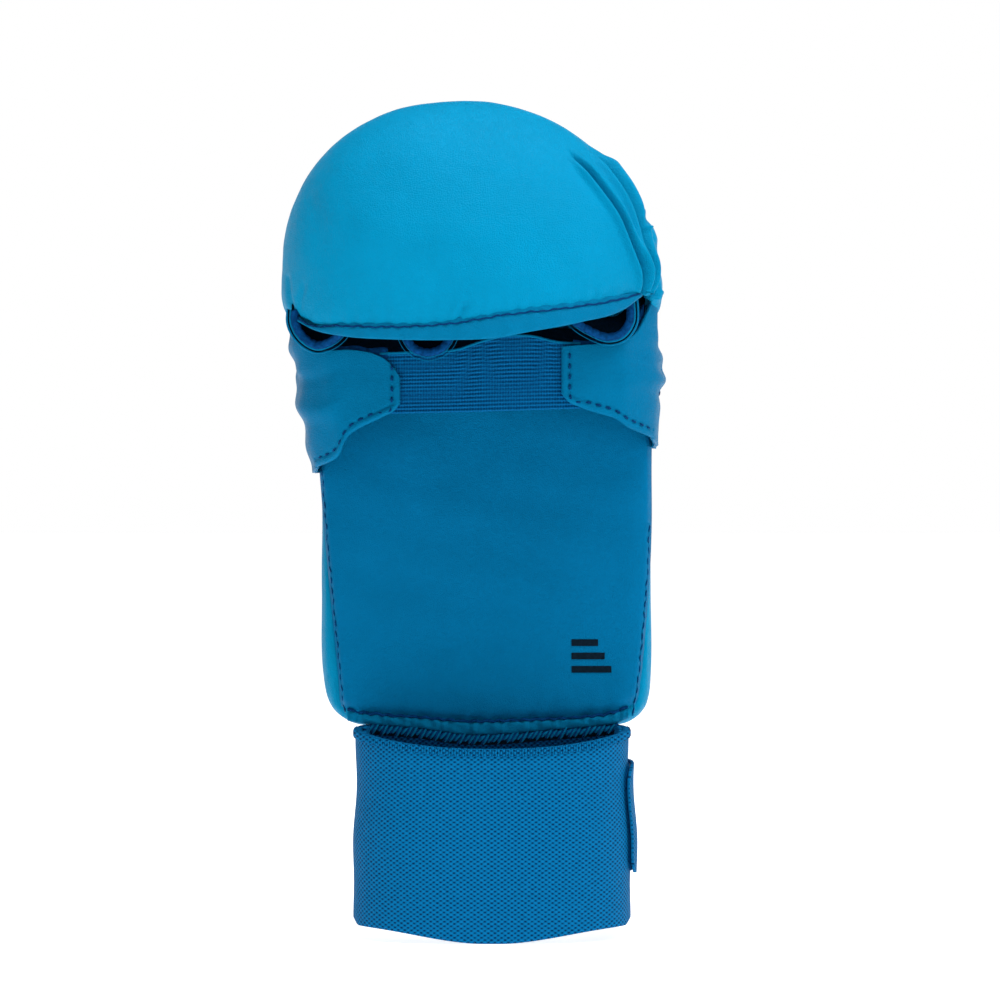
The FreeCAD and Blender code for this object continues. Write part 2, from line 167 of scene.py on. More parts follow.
def ripple(x, y, z, seed, size=1.0):
    """Soft uneven waves between -1 and 1, the same on each run; a larger size is a longer wave."""
    x, y, z = x / size, y / size, z / size
    a = np.sin(x * 0.31 + 1.7 * seed) + np.sin(y * 0.23 + 2.3 * seed) + np.sin(z * 0.27 + 0.9 * seed)
    b = np.sin(x * 0.83 + z * 0.41 + seed) + np.sin(z * 1.13 - y * 0.57 + 3.1 * seed)
    return (a + b * 0.7) / 4.4


def slope_of(grid, axis, wrap):
    """Difference of a grid of points along one axis."""
    if wrap:
        return np.roll(grid, -1, axis) - np.roll(grid, 1, axis)
    return np.gradient(grid, axis=axis)


def grid_normals(grid, wrap):
    """Unit normals of a grid of points, across its rows and columns."""
    return unit(np.cross(slope_of(grid, 1, wrap), slope_of(grid, 0, False)))


def make_mesh(name, points, faces):
    """A smooth-shaded object from points in millimetres."""
    mesh = bpy.data.meshes.new(name)
    mesh.from_pydata((np.asarray(points) * MM).tolist(), [], faces)
    build = bmesh.new()
    build.from_mesh(mesh)
    bmesh.ops.remove_doubles(build, verts=build.verts, dist=1e-6)
    bmesh.ops.recalc_face_normals(build, faces=build.faces)
    build.to_mesh(mesh)
    build.free()
    mesh.validate()
    mesh.shade_smooth()
    piece = bpy.data.objects.new(name, mesh)
    SCENE.collection.objects.link(piece)
    return piece


def grid_faces(rows, columns, wrap, start=0, flip=False):
    """Quads of a grid whose points are numbered row by row."""
    faces = []
    last = columns if wrap else columns - 1
    for r in range(rows - 1):
        for c in range(last):
            d = (c + 1) % columns
            quad = (start + r * columns + c, start + r * columns + d,
                    start + (r + 1) * columns + d, start + (r + 1) * columns + c)
            faces.append(quad[::-1] if flip else quad)
    return faces


def shell(name, grid, thickness, wrap=False, side=1.0):
    """A closed sheet of even thickness: the grid is its outer face."""
    rows, columns, _ = grid.shape
    inner = grid - grid_normals(grid, wrap) * thickness * side
    points = np.concatenate([grid.reshape(-1, 3), inner.reshape(-1, 3)])
    half = rows * columns
    faces = grid_faces(rows, columns, wrap) + grid_faces(rows, columns, wrap, half, True)
    edges = []
    last = columns if wrap else columns - 1
    for c in range(last):
        d = (c + 1) % columns
        edges.append((c, d))
        edges.append(((rows - 1) * columns + d, (rows - 1) * columns + c))
    if not wrap:
        for r in range(rows - 1):
            edges.append(((r + 1) * columns, r * columns))
            edges.append((r * columns + columns - 1, (r + 1) * columns + columns - 1))
    faces += [(b, a, a + half, b + half) for a, b in edges]
    return make_mesh(name, points, faces)


def strand(spine, ring, size):
    """Rings of points round a spine, from one outline or one for each point, each at its size."""
    return spine[:, None] + ring * np.broadcast_to(size, (len(spine),))[:, None, None]


def beads(name, strands):
    """One object from separate strands of rings, each with its two ends closed."""
    points = []
    faces = []
    for rings in strands:
        count, sides, _ = rings.shape
        start = len(points)
        finish = start + (count - 1) * sides
        faces += grid_faces(count, sides, True, start)
        faces.append(tuple(range(start, start + sides))[::-1])
        faces.append(tuple(range(finish, finish + sides)))
        points.extend(rings.reshape(-1, 3))
    return make_mesh(name, points, faces)


def tube(name, path, radius, sides=8):
    """A round cord along a path; radius may be one number or one for each point."""
    along = unit(slope_of(path, 0, False))
    across = unit(np.cross(along, (0.0, 1.0, 0.0)))
    up = np.cross(across, along)
    turn = full_turn(sides)[:, None]
    ring = across[:, None] * np.cos(turn) + up[:, None] * np.sin(turn)
    return beads(name, [strand(path, ring, radius)])


def closed_ring(name, grid):
    """A closed form from stacked rings, with its two ends capped."""
    rows, columns, _ = grid.shape
    points = grid.reshape(-1, 3)
    faces = grid_faces(rows, columns, True)
    low = points[:columns].mean(axis=0)
    high = points[-columns:].mean(axis=0)
    points = np.concatenate([points, [low, high]])
    base = rows * columns
    for c in range(columns):
        d = (c + 1) % columns
        faces.append((d, c, base))
        faces.append(((rows - 1) * columns + c, (rows - 1) * columns + d, base + 1))
    return make_mesh(name, points, faces)


def read_points(piece):
    """Places of a piece's vertices, in millimetres."""
    points = np.zeros(len(piece.data.vertices) * 3)
    piece.data.vertices.foreach_get("co", points)
    return points.reshape(-1, 3) / MM


def write_points(piece, points):
    """Move a piece's vertices to places in millimetres."""
    piece.data.vertices.foreach_set("co", (points * MM).ravel())
    piece.data.update()


def write_weave(piece, across, up):
    """Give each vertex its place on the cloth, in millimetres, for the weave to follow."""
    index = np.zeros(len(piece.data.loops), int)
    piece.data.loops.foreach_get("vertex_index", index)
    layer = piece.data.uv_layers.new(name="weave")
    layer.data.foreach_set("uv", points_of(across, up)[index].ravel().astype(np.float32))


def surface_tree(piece):
    """Search tree of a piece's surface."""
    mesh = bmesh.new()
    mesh.from_mesh(piece.data)
    tree = BVHTree.FromBMesh(mesh)
    mesh.free()
    return tree


def on_back(tree, x, z):
    """Points of a surface seen straight from behind at each place across and up."""
    route = []
    for across, up in zip(x, z):
        hit = tree.ray_cast(Vector((across * MM, RAY_START, up * MM)), Vector((0, -1, 0)))[0]
        if hit is not None:
            route.append(np.array(hit) / MM)
    return np.array(route)


# ------------------------------------------------------------------ materials

COATING = (0.03, 0.6, 1.0, 1.0)
PIT_ACROSS = 1.96
PIT_UP = 1.34
RIB_PITCH = 1.12
YARN_PITCH = 0.8
PAPER_GLOW = 0.86


class Graph:
    """The node tree of a material or a world, being filled."""

    def __init__(self, owner):
        owner.use_nodes = True
        self.owner = owner
        self.tree = owner.node_tree

    def fill(self, node, inputs):
        """Set a node's inputs, each to a value or to another node's output."""
        for key, item in inputs.items():
            if isinstance(item, bpy.types.NodeSocket):
                self.tree.links.new(item, node.inputs[key])
            else:
                node.inputs[key].default_value = item

    def add(self, kind, inputs, **settings):
        """The outputs of a new node."""
        node = self.tree.nodes.new("ShaderNode" + kind)
        for key, value in settings.items():
            setattr(node, key, value)
        self.fill(node, inputs)
        return node.outputs

    def math(self, operation, *items):
        """One arithmetic node; each item is an output or a number."""
        return self.add("Math", dict(enumerate(items)), operation=operation)["Value"]

    def wave(self, operation, value, pitch):
        """Sine or cosine that repeats at a pitch."""
        return self.math(operation, self.math("MULTIPLY", value, 2 * math.pi / pitch))

    def place(self, scale=(1, 1, 1)):
        """Object coordinates in metres, stretched by a scale."""
        source = self.add("TexCoord", {})["Object"]
        return self.add("Mapping", {"Vector": source, "Scale": scale})["Vector"]

    def weave(self):
        """Place on the cloth across and up, in millimetres."""
        source = self.add("UVMap", {}, uv_map="weave")["UV"]
        split = self.add("SeparateXYZ", {"Vector": source})
        return split["X"], split["Y"]

    def noise(self, vector, scale, detail=3.0):
        """Noise value at a scale in cells for each metre."""
        return self.add("TexNoise", {"Vector": vector, "Scale": scale, "Detail": detail})["Fac"]

    def ramp(self, value, *stops):
        """Colour ramp of (position, colour) stops."""
        outputs = self.add("ValToRGB", {"Fac": value})
        elements = outputs["Color"].node.color_ramp.elements
        while len(elements) < len(stops):
            elements.new(0.5)
        for element, (position, colour) in zip(elements, stops):
            element.position = position
            element.color = (*colour, 1)
        return outputs["Color"]

    def bump(self, height, distance, strength, **normal):
        """Relief from a height, laid over another relief if one is given as Normal."""
        inputs = {"Height": height, "Distance": distance, "Strength": strength, **normal}
        return self.add("Bump", inputs)["Normal"]

    def shade(self, colour, relief, rough, gloss):
        """The finished material, with its colour, relief, roughness and strength of reflection."""
        self.fill(self.tree.nodes["Principled BSDF"], {
            "Base Color": colour, "Normal": relief, "Roughness": rough,
            "Specular IOR Level": gloss, "Specular Tint": COATING})
        return self.owner


def new_graph(name):
    """The graph of a new material."""
    return Graph(bpy.data.materials.new(name))


def grey(value):
    """A grey as a colour."""
    return (value, value, value)


def scaled(colour, factor):
    """A colour made darker or lighter."""
    return tuple(min(1.0, channel * factor) for channel in colour)


def leather(name, colour, grain=1500.0, rough=0.42):
    """Smooth coated leather: fine pebbled grain, soft creases, slight change of tone."""
    graph = new_graph(name)
    place = graph.place()
    tone = graph.noise(place, 38.0, 4.0)
    drift = graph.add("TexNoise", {"Vector": place, "Scale": 420.0})["Color"]
    warp = {0: drift, 1: (0.0012, 0.0012, 0.0012), 2: place}
    warped = graph.add("VectorMath", warp, operation="MULTIPLY_ADD")["Vector"]
    cells = graph.add("TexVoronoi", {"Vector": warped, "Scale": grain}, feature="DISTANCE_TO_EDGE")
    pebbles = graph.math("MINIMUM", cells["Distance"], 0.25)
    creases = graph.bump(graph.noise(place, 140.0, 5.0), 0.001, 0.45)
    polish = graph.noise(place, 260.0)
    return graph.shade(graph.ramp(tone, (0.3, scaled(colour, 0.93)), (0.7, scaled(colour, 1.06))),
                       graph.bump(pebbles, 0.0004, 0.8, Normal=creases),
                       graph.ramp(polish, (0.3, grey(rough - 0.05)), (0.7, grey(rough + 0.08))), 0.06)


def woven_elastic(name, colour, dark):
    """Cuff elastic: staggered rows of small dark pits between pale yarns."""
    graph = new_graph(name)
    across, up = graph.weave()
    columns = graph.wave("COSINE", across, PIT_ACROSS)
    lattice = graph.math("MULTIPLY", columns, graph.wave("COSINE", up, PIT_UP))
    fuzz = graph.math("SUBTRACT", graph.noise(graph.place(), 1500.0), 0.5)
    pits = graph.math("MULTIPLY_ADD", fuzz, 1.1, lattice)
    height = graph.math("MULTIPLY_ADD", pits, 0.5, 0.5)
    tones = graph.ramp(height, (0.1, dark), (0.34, scaled(colour, 0.75)), (0.6, colour),
                       (0.95, scaled(colour, 1.25)))
    return graph.shade(tones, graph.bump(height, 0.0005, 0.6), 0.78, 0.15)


def ribbed_elastic(name, colour, dark):
    """Palm elastic: fine yarns across each rib, in broken blue and navy."""
    graph = new_graph(name)
    across, up = graph.weave()
    ribs = graph.wave("SINE", up, RIB_PITCH)
    mixed = graph.math("MULTIPLY_ADD", graph.wave("SINE", across, YARN_PITCH), 0.5, ribs)
    fuzz = graph.math("SUBTRACT", graph.noise(graph.place(), 1300.0, 4.0), 0.5)
    uneven = graph.math("MULTIPLY_ADD", fuzz, 2.2, mixed)
    height = graph.math("MULTIPLY_ADD", uneven, 0.4, 0.5)
    tones = graph.ramp(height, (0.05, dark), (0.5, colour), (0.95, scaled(colour, 1.35)))
    return graph.shade(tones, graph.bump(height, 0.0004, 0.6), 0.8, 0.12)


def fuzzy_cloth(name, colour, size=900.0, relief=0.0004, rough=0.88):
    """Knitted or brushed cloth: short uneven fibres."""
    graph = new_graph(name)
    fibres = graph.noise(graph.place(), size, 6.0)
    tones = graph.ramp(fibres, (0.3, scaled(colour, 0.55)), (0.7, scaled(colour, 1.4)))
    return graph.shade(tones, graph.bump(fibres, relief, 0.7), rough, 0.12)


def twisted_thread(name, colour):
    """Sewing thread: fine slanted twist along each stitch."""
    graph = new_graph(name)
    inputs = {"Vector": graph.place((1.0, 1.0, 1.3)), "Scale": 900.0, "Distortion": 1.5}
    twist = graph.add("TexWave", inputs, bands_direction="DIAGONAL")["Fac"]
    tones = graph.ramp(twist, (0.2, scaled(colour, 0.6)), (0.8, scaled(colour, 1.5)))
    return graph.shade(tones, graph.bump(twist, 0.0001, 0.5), 0.65, 0.12)


def studio_white(name):
    """Pale seamless paper."""
    graph = new_graph(name)
    fibres = graph.noise(graph.place(), 60.0, 4.0)
    graph.fill(graph.tree.nodes["Principled BSDF"], {
        "Base Color": graph.ramp(fibres, (0.3, grey(0.94)), (0.7, grey(0.96))), "Roughness": 0.9,
        "Emission Color": (1, 1, 1, 1), "Emission Strength": PAPER_GLOW})
    return graph.owner


# Cap leather. The wings and the hem are the same cover leather; their darker colours are copies of it
# darkened as painted shade.
BRIGHT = (0.001, 0.222, 0.415)
SHADED_LEATHER = (0.0008, 0.132, 0.282)
LINING = (0.0008, 0.135, 0.305)
MATERIALS = {
    "cap": leather("cap_leather", BRIGHT),
    # Wing and hem leathers: the cap's leather darkened, painted shade for the shaded wings and the hem that
    # faces down.
    "wing": leather("wing_leather_painted_shade", SHADED_LEATHER),
    "hem": leather("hem_leather", (0.001, 0.145, 0.298), rough=0.46),
    "lining": leather("lining_leather", LINING, grain=1800.0, rough=0.5),
    "cuff": woven_elastic("cuff_elastic", (0.0014, 0.118, 0.295), (0.0008, 0.016, 0.068)),
    "band": ribbed_elastic("palm_elastic", (0.0014, 0.081, 0.22), (0.0008, 0.04, 0.128)),
    "knit": fuzzy_cloth("knit_binding", (0.0015, 0.04, 0.145)),
    # Near-black cloth: painted shadow, put in the finger hollow, the loops, the upper lining and the gap
    # under the wrist roll.
    "dark": fuzzy_cloth("painted_shadow_cloth", (0.0004, 0.002, 0.007), size=700.0),
    "thread": twisted_thread("sewing_thread", (0.002, 0.032, 0.12)),
    "loop": fuzzy_cloth("loop_tape", (0.001, 0.05, 0.16), size=1300.0, relief=0.0009),
    "hook": fuzzy_cloth("hook_tape", (0.001, 0.04, 0.10), size=1600.0, relief=0.0007, rough=0.5),
    "ink": fuzzy_cloth("print_ink", (0.004, 0.006, 0.012), size=1200.0, relief=0.00003, rough=0.45),
}


def dress(piece, material, body, slot, *nodes):
    """Give a piece its material and the body it rides, and hide the nodes it stands for; its slot is not
    used.
    """
    piece.data.materials.clear()
    piece.data.materials.append(MATERIALS[material])
    if body:
        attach(piece, body)
    if nodes:
        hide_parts(*nodes)
    return piece


def bend(piece):
    """Bake a piece's placing into its mesh."""
    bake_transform(piece)


# Stitch sizes: length, gap and radius of the thread.
HEM_STITCH = (2.9, 0.6, 0.2)
BACK_STITCH = (2.4, 1.2, 0.32)
BACK_SIDE_STITCH = (2.4, 1.2, 0.3)
LINING_STITCH = (2.3, 1.2, 0.23)
WRIST_STITCH = (2.1, 1.0, 0.3)
WING_STITCH = (1.75, 1.25, 0.32)
WING_SEAM_STITCH = (2.2, 1.2, 0.3)
TAB_STITCH = (2.2, 1.0, 0.3)


def sew(name, path, outward, stitch, body="hand_back", nodes=(), lift=0.0):
    """A row of separate stitches along a path, each a small rounded capsule of thread."""
    length, gap, radius = stitch
    rings = 7
    lean = unit(np.array(outward, float))
    rise = lift + radius * 0.9 * np.sin(np.linspace(0, math.pi, rings))
    size = radius * np.sqrt(np.clip(1 - np.linspace(-1, 1, rings) ** 4, 0.03, 1))
    turn = full_turn(8)[:, None]
    along = distances(path)
    number = max(1, int(along[-1] / (length + gap)))
    pitch = along[-1] / number
    strands = []
    for i in range(number):
        at = i * pitch + pitch * 0.1 + np.linspace(0, length, rings)
        spine = points_of(*(np.interp(at, along, path[:, k]) for k in range(3))) + lean * rise[:, None]
        across = np.cross(unit(spine[-1] - spine[0]), lean)
        ring = across * np.cos(turn) + lean * np.sin(turn) * 0.7
        strands.append(strand(spine, ring, size))
    return dress(beads(name, strands), "thread", body, "thread", *nodes)


# ------------------------------------------------------------------ fist cap

SEAM_LINE = [(-53.0, 183.6), (-47.7, 180.0), (-37.6, 179.1), (-20.0, 178.5), (-4.0, 179.5), (8.5, 181.6),
             (28.0, 184.0), (45.0, 187.4), (51.0, 189.6)]
HEM_EDGE = [(-52.0, 181.6), (-45.0, 177.9), (-37.6, 176.2), (-22.0, 174.9), (-4.0, 174.7), (6.0, 175.1),
            (17.4, 177.1), (31.6, 179.9), (45.3, 184.4), (50.0, 188.0)]
SIDE_RIM = 183.0
REAR_RIM = 185.5
HOLLOW_HALF = 51.5
HOLLOW_RISE = 36.0

# Section of the hem from its seam round its lower edge: depth behind the seam, and height as a share of
# the strip.
HEM_PROFILE = ((1.1, 0.35), (0.75, 0.0), (0.35, -0.2), (0.1, -0.45), (0.05, -0.7), (0.25, -0.9), (0.7, -1.0),
               (1.5, -0.98), (2.2, -0.85), (2.6, -0.5), (2.8, 0.2), (3.4, 1.4))

# Pleats that gather into the right corner of the hem: points across and up, then depth and width.
PLEATS = [
    ([(28.0, 231.5), (32.2, 226.0), (38.2, 218.1), (43.2, 210.8), (46.9, 202.0), (50.0, 193.3),
      (50.6, 189.5)], 4.5, 0.56),
    ([(33.5, 234.0), (41.1, 224.0), (45.6, 217.1), (48.4, 210.3), (50.4, 201.5), (52.1, 194.7),
      (52.4, 190.0)], 4.0, 0.5),
    ([(38.6, 231.0), (44.6, 223.1), (48.7, 215.7), (50.4, 209.0)], 3.0, 0.5),
    ([(50.4, 214.3), (53.0, 203.0), (54.2, 192.8), (54.0, 189.0)], 3.0, 0.5),
    ([(53.4, 206.0), (55.2, 198.0), (55.6, 191.0)], 1.2, 0.5),
    ([(-52.4, 184.0), (-53.2, 189.0), (-53.6, 194.0)], 0.55, 0.6),
    ([(-50.0, 183.0), (-49.6, 187.0), (-48.6, 191.0)], 0.4, 0.8),
    ([(-49.0, 222.0), (-45.0, 212.0), (-43.0, 200.0)], 0.35, 2.6),
    ([(-3.6, 179.0), (-3.0, 181.5), (-1.6, 184.5)], 0.8, 0.8),
]


def cap_radius(z):
    """Size of the cap's plan at a height, as a share of its widest."""
    up = np.clip((z - EQUATOR) / RISE, 0, 1)
    down = np.clip((EQUATOR - z) / HEM_DROP, 0, 3)
    return np.where(z > EQUATOR, np.sqrt(1 - up ** 2), 1 - HEM_TUCK * down ** 2)


def cap_front(x, z):
    """Depth of the cap's front face at a place across and up."""
    radius = np.maximum(cap_radius(z), 1e-4)
    inside = np.clip(1 - np.abs(x / (HALF * radius)) ** PLAN_POWER, 0, 1)
    return -DEPTH * radius * inside ** (1 / PLAN_POWER)


def rim_height(x, y):
    """Height of the cap's lower edge round its plan: hem in front, hidden rim at sides and back."""
    front = 1 - smooth_step(-17, -9, y)
    rear = smooth_step(-6, 22, y)
    side = SIDE_RIM + (REAR_RIM - SIDE_RIM) * rear
    return spline(SEAM_LINE, x) * front + side * (1 - front)


def distance_to_path(x, z, points):
    """Distance in the front view from each place to a path, and how far along it lies, 0 to 1."""
    route = path3([(a, 0.0, b) for a, b in points], 40)[:, [0, 2]]
    best = np.full(x.shape, 1e9)
    along = np.zeros(x.shape)
    for i in range(len(route) - 1):
        start = route[i]
        step = route[i + 1] - start
        t = np.clip(((x - start[0]) * step[0] + (z - start[1]) * step[1]) / (step @ step), 0, 1)
        away = np.hypot(x - start[0] - t * step[0], z - start[1] - t * step[1])
        nearer = away < best
        best = np.where(nearer, away, best)
        along = np.where(nearer, (i + t) / (len(route) - 1), along)
    return best, along


def pleat_depth(x, y, z):
    """How far the pleats push the cap's front surface in (negative) or puff it out."""
    push = np.zeros(x.shape)
    for points, depth, width in PLEATS:
        away, along = distance_to_path(x, z, points)
        fade = smooth_step(0.0, 0.22, along) * (1 - 0.25 * smooth_step(0.85, 1.0, along))
        push -= depth * fade * bell(away, width)
        push += 0.42 * depth * fade * bell(away - 2.2 * width, 1.3 * width)
    return push * (1 - smooth_step(-4, 4, y))


def crowded_turns(columns, heart, spread, crowd):
    """Angles round the cap, closer together about one angle."""
    fine = np.linspace(0, 2 * math.pi, 6000)
    away = np.angle(np.exp(1j * (fine - heart)))
    weight = 1 + crowd * bell(away, spread)
    along = running_total((weight[1:] + weight[:-1]) / 2)
    return np.interp(np.arange(columns) / columns * along[-1], along, fine)


def cap_grid(columns, rows):
    """Points of the cap's outer surface from its rim to its crown, fuller on its left shoulder."""
    turn = crowded_turns(columns, 2 * math.pi - 0.5, 0.42, 3.5)
    shape_x, shape_y = rounded(turn, PLAN_POWER)
    plan_x, plan_y = HALF * shape_x, DEPTH * shape_y
    low = (rim_height(plan_x, plan_y) - EQUATOR) / RISE
    level = np.linspace(0, 1, rows)[:, None]
    angle = low + (math.pi / 2 - low) * level
    round_power = 1.93 + 0.45 * smooth_step(0.3, -0.9, np.cos(turn))
    up = np.clip(angle, 0, math.pi / 2)
    z = np.where(angle > 0, EQUATOR + RISE * np.sin(up) ** (2 / round_power), EQUATOR + RISE * angle)
    radius = np.where(angle > 0, np.clip(np.cos(up), 0, 1) ** (2 / round_power), cap_radius(z))
    radius[-1] = 0
    return points_of(plan_x * radius, plan_y * radius, z), radius


def make_cap():
    """Padded leather dome, drawn in at its seam and pleated at its right corner."""
    grid, radius = cap_grid(700, 190)
    x, y, z = grid[..., 0], grid[..., 1], grid[..., 2]
    outward = grid_normals(grid, True)
    outward[-1] = (0, 0, 1)
    if outward[len(grid) // 2, 0, 0] < 0:
        outward = -outward
    above_seam = z - rim_height(x / np.maximum(radius, 0.2), y / np.maximum(radius, 0.2))
    above = np.clip(above_seam, 0, None)
    roll = -1.5 * np.exp(-above / 2.2) - 1.6 * bell(above_seam, 2.5) * (y > 0)
    puff = 0.6 * ripple(x, y, z, 1.0, 3.2) + 0.07 * ripple(x, y, z, 4.0, 0.9)
    pucker = 0.22 * np.sin(x * 1.35 + 0.7 * np.sin(x * 0.37)) * np.exp(-above / 3.5)
    push = roll + puff + pucker * (y < 0) + pleat_depth(x, y, z)
    grid = grid + outward * push[..., None]
    grid[-1] = grid[-1].mean(axis=0)
    cap = shell("fist_cap", grid, 1.2, wrap=True)
    dress(cap, "cap", "fist", "cover_leather", "fist_cover", "fist_foam")


def make_finger_hollow_shade():
    """Near-black sheet inside the finger hollow: painted shadow for the hollow's dark inside."""
    level = np.linspace(0, 1, 50)[:, None]
    shape_x, shape_y = rounded(full_turn(160), PLAN_POWER)
    front = smooth_step(0.2, -0.5, shape_y)
    rim = rim_height(HALF * shape_x, DEPTH * shape_y) + 1.2
    top = EQUATOR + HOLLOW_RISE
    z = rim + (top - rim) * np.sin(level * math.pi / 2)
    closing = np.sqrt(np.clip(1 - level ** 3, 0, 1))
    half_y = (15 + 17 * front * (1 - level) ** 1.5) * closing
    grid = points_of(HOLLOW_HALF * closing * shape_x, half_y * shape_y, z)
    dress(shell("finger_hollow_shadow_sheet", grid, 0.8, wrap=True), "dark", "fist", "lining_leather", "fist_lining")


def make_hem():
    """Rolled leather strip under the seam, turned in behind the hem, with its row of stitches."""
    x = np.linspace(HEM_EDGE[0][0], HEM_EDGE[-1][0], 320)
    seam = spline(SEAM_LINE, x)
    tall = seam - spline(HEM_EDGE, x)
    face = cap_front(x, seam)
    inward = unit(points_of(-x / HALF * 0.6, 1.0, 0.0))
    rows = []
    for depth, height in HEM_PROFILE:
        crumple = 0.12 * np.sin(x * 0.9 + depth * 3) * (height < 0)
        rows.append(points_of(x, face, seam + height * tall) + inward * (depth + crumple)[:, None])
    rows = np.array(rows)
    at = np.linspace(0, len(rows) - 1, 44)
    fine = [spline3(range(len(rows)), rows[:, c], at) for c in range(len(x))]
    hem = shell("hem_strip", np.array(fine).transpose(1, 0, 2), 0.6, side=-1.0)
    dress(hem, "hem", "fist", "cover_leather", "hem_binding", "hem_facing")
    wander = 0.12 * np.sin(x * 1.9) + 0.1 * np.sin(x * 0.77 + 1)
    line = points_of(x, face + 0.85, seam + wander)[3:-3]
    dress(tube("hem_seam_groove", line, 0.3), "thread", "fist", "thread")
    sew("hem_seam_stitches", line - (0, 0.3, 0), (0, -1, 0), HEM_STITCH, "fist")


# ------------------------------------------------------------------ finger loops

LOOP_PATHS = {
    "finger_loop_1": [(-51.4, -17.5, 184.0), (-51.2, -18.5, 180.6), (-49.0, -19.5, 176.6),
                      (-44.8, -20.4, 174.0), (-40.8, -22.5, 174.9), (-36.6, -26.5, 178.5),
                      (-34.5, -27.5, 182.0)],
    "finger_loop_2": [(-19.2, -29.0, 180.0), (-18.6, -29.5, 176.0), (-16.6, -29.8, 172.9),
                      (-12.3, -30.0, 171.4), (-8.0, -29.8, 172.9), (-6.0, -29.5, 176.0),
                      (-5.4, -29.0, 180.0)],
    "finger_loop_3": [(6.6, -29.0, 187.0), (7.2, -29.5, 183.5), (9.2, -29.8, 180.8), (13.2, -30.0, 179.8),
                      (17.4, -29.8, 181.0), (19.4, -29.5, 184.0), (20.0, -29.0, 188.0)],
    "finger_loop_4": [(45.9, -18.0, 190.0), (46.3, -18.8, 185.4), (46.2, -19.5, 181.0), (43.8, -20.6, 177.4),
                      (39.7, -22.6, 176.2), (35.2, -24.8, 177.6), (29.8, -27.0, 181.0), (27.0, -27.5, 184.5)],
}

LOOP_POINTS = 90

# Outer layers of each loop: how far out, how thick, and the material; the near-black middle layer is a
# painted shadow line.
LOOP_LAYERS = ((1.3, 0.4, "hem"), (1.85, 0.3, "dark"), (2.35, 0.36, "wing"))

# Where along each loop its layers are thickest; beyond 1 they are thin all along.
LAYER_HEART = {"finger_loop_1": 0.25, "finger_loop_2": 2.0, "finger_loop_3": 2.0, "finger_loop_4": 0.25}


def make_finger_loops():
    """Knit-bound elastic loops for the fingers, each with a pale outer edge and a near-black inner wall that
    is painted shadow inside the loop.
    """
    place = np.linspace(0, 1, LOOP_POINTS)
    wobble = 0.1 * np.sin(np.arange(LOOP_POINTS) * 0.9)
    for name, points in LOOP_PATHS.items():
        route = path3(points, LOOP_POINTS)
        bound = tube(name, route + points_of(wobble, 0, wobble), 1.15, 14)
        dress(bound, "knit", "fist", "knit_binding", name)
        away = route - (route.mean(axis=0) + (0, 0, 4.0))
        away[:, 1] = 0
        away = unit(away)
        for layer, (out, size, material) in enumerate(LOOP_LAYERS):
            taper = size * (1 - 0.75 * smooth_step(0.1, 0.45, np.abs(place - LAYER_HEART[name])))
            strip = tube(f"{name}_layer_{layer + 1}", route + away * out + (0, 0.25 * out, 0), taper, 10)
            dress(strip, material, "fist", "knit_binding")
        # The wall is near-black: painted shadow inside the loop.
        wall = np.array([route + away * 0.3 + (0, 5.0 * v, 6.0 * v) for v in np.linspace(0, 1, 10)])
        dress(shell(f"{name}_wall", wall, 0.7), "dark", "fist", "knit_binding")


# ------------------------------------------------------------------ back pad and lining

LEFT_SIDE = [(58.0, -34.5), (60.0, -37.0), (62.5, -39.8), (66.0, -42.8), (70.0, -44.4), (75.0, -45.2),
             (102.0, -45.8), (140.0, -46.8), (150.0, -48.8), (172.0, -52.6), (192.0, -55.0)]
RIGHT_SIDE = [(58.0, 44.8), (60.0, 47.6), (62.5, 50.4), (66.0, 52.8), (70.0, 54.0), (75.0, 54.4),
              (102.0, 54.4), (140.0, 54.4), (150.0, 54.8), (172.0, 55.6), (192.0, 55.6)]
LEFT_SEAM = [(61.0, -37.0), (65.4, -38.3), (75.6, -39.4), (86.8, -40.6), (102.4, -42.1), (118.4, -43.6),
             (139.7, -45.3), (186.0, -51.0)]
RIGHT_SEAM = [(61.0, 47.4), (63.6, 48.2), (73.8, 49.9), (90.0, 51.6), (107.2, 52.9), (120.0, 53.4),
              (140.0, 53.4), (186.0, 54.4)]
HEM_SEAM = [(-39.0, 66.6), (-37.0, 65.8), (-27.7, 64.3), (-15.0, 63.4), (-2.4, 62.3), (8.6, 62.4),
            (19.7, 62.8), (34.0, 63.6), (43.5, 65.2), (48.6, 67.4)]
LINING_TOP = 180.5
LINING_SPLIT = 164.0
LINING_FOOT = 62.0
SEAM_TUCK = 0.9

PAD_POWER = 4.2
PAD_FOOT = 60.5
PAD_TOP = CREASE + 1.0
EDGE_ROLL = 3.5
STITCHED_LINES = (CREASE - 3.5, CREASE - 34.0)

# Wrinkles across the back: height and depth.
BACK_WRINKLES = ((CREASE - 10.5, 0.9), (CREASE - 17.0, 0.7), (CREASE - 24.0, 0.35))


def knuckle_share(z):
    """0 low on the hand, 1 at the knuckles, where the back takes the cap's rounded plan."""
    return smooth_step(138, 184, z)


def cap_plan_y(x):
    """Depth of the cap's plan behind the hand at a place across."""
    return DEPTH * np.clip(1 - np.abs(x / HALF) ** PLAN_POWER, 0, 1) ** (1 / PLAN_POWER)


def cap_plan_x(y):
    """Half width of the cap's plan at a depth behind the hand."""
    return HALF * np.clip(1 - np.abs(y / DEPTH) ** PLAN_POWER, 0, 1) ** (1 / PLAN_POWER)


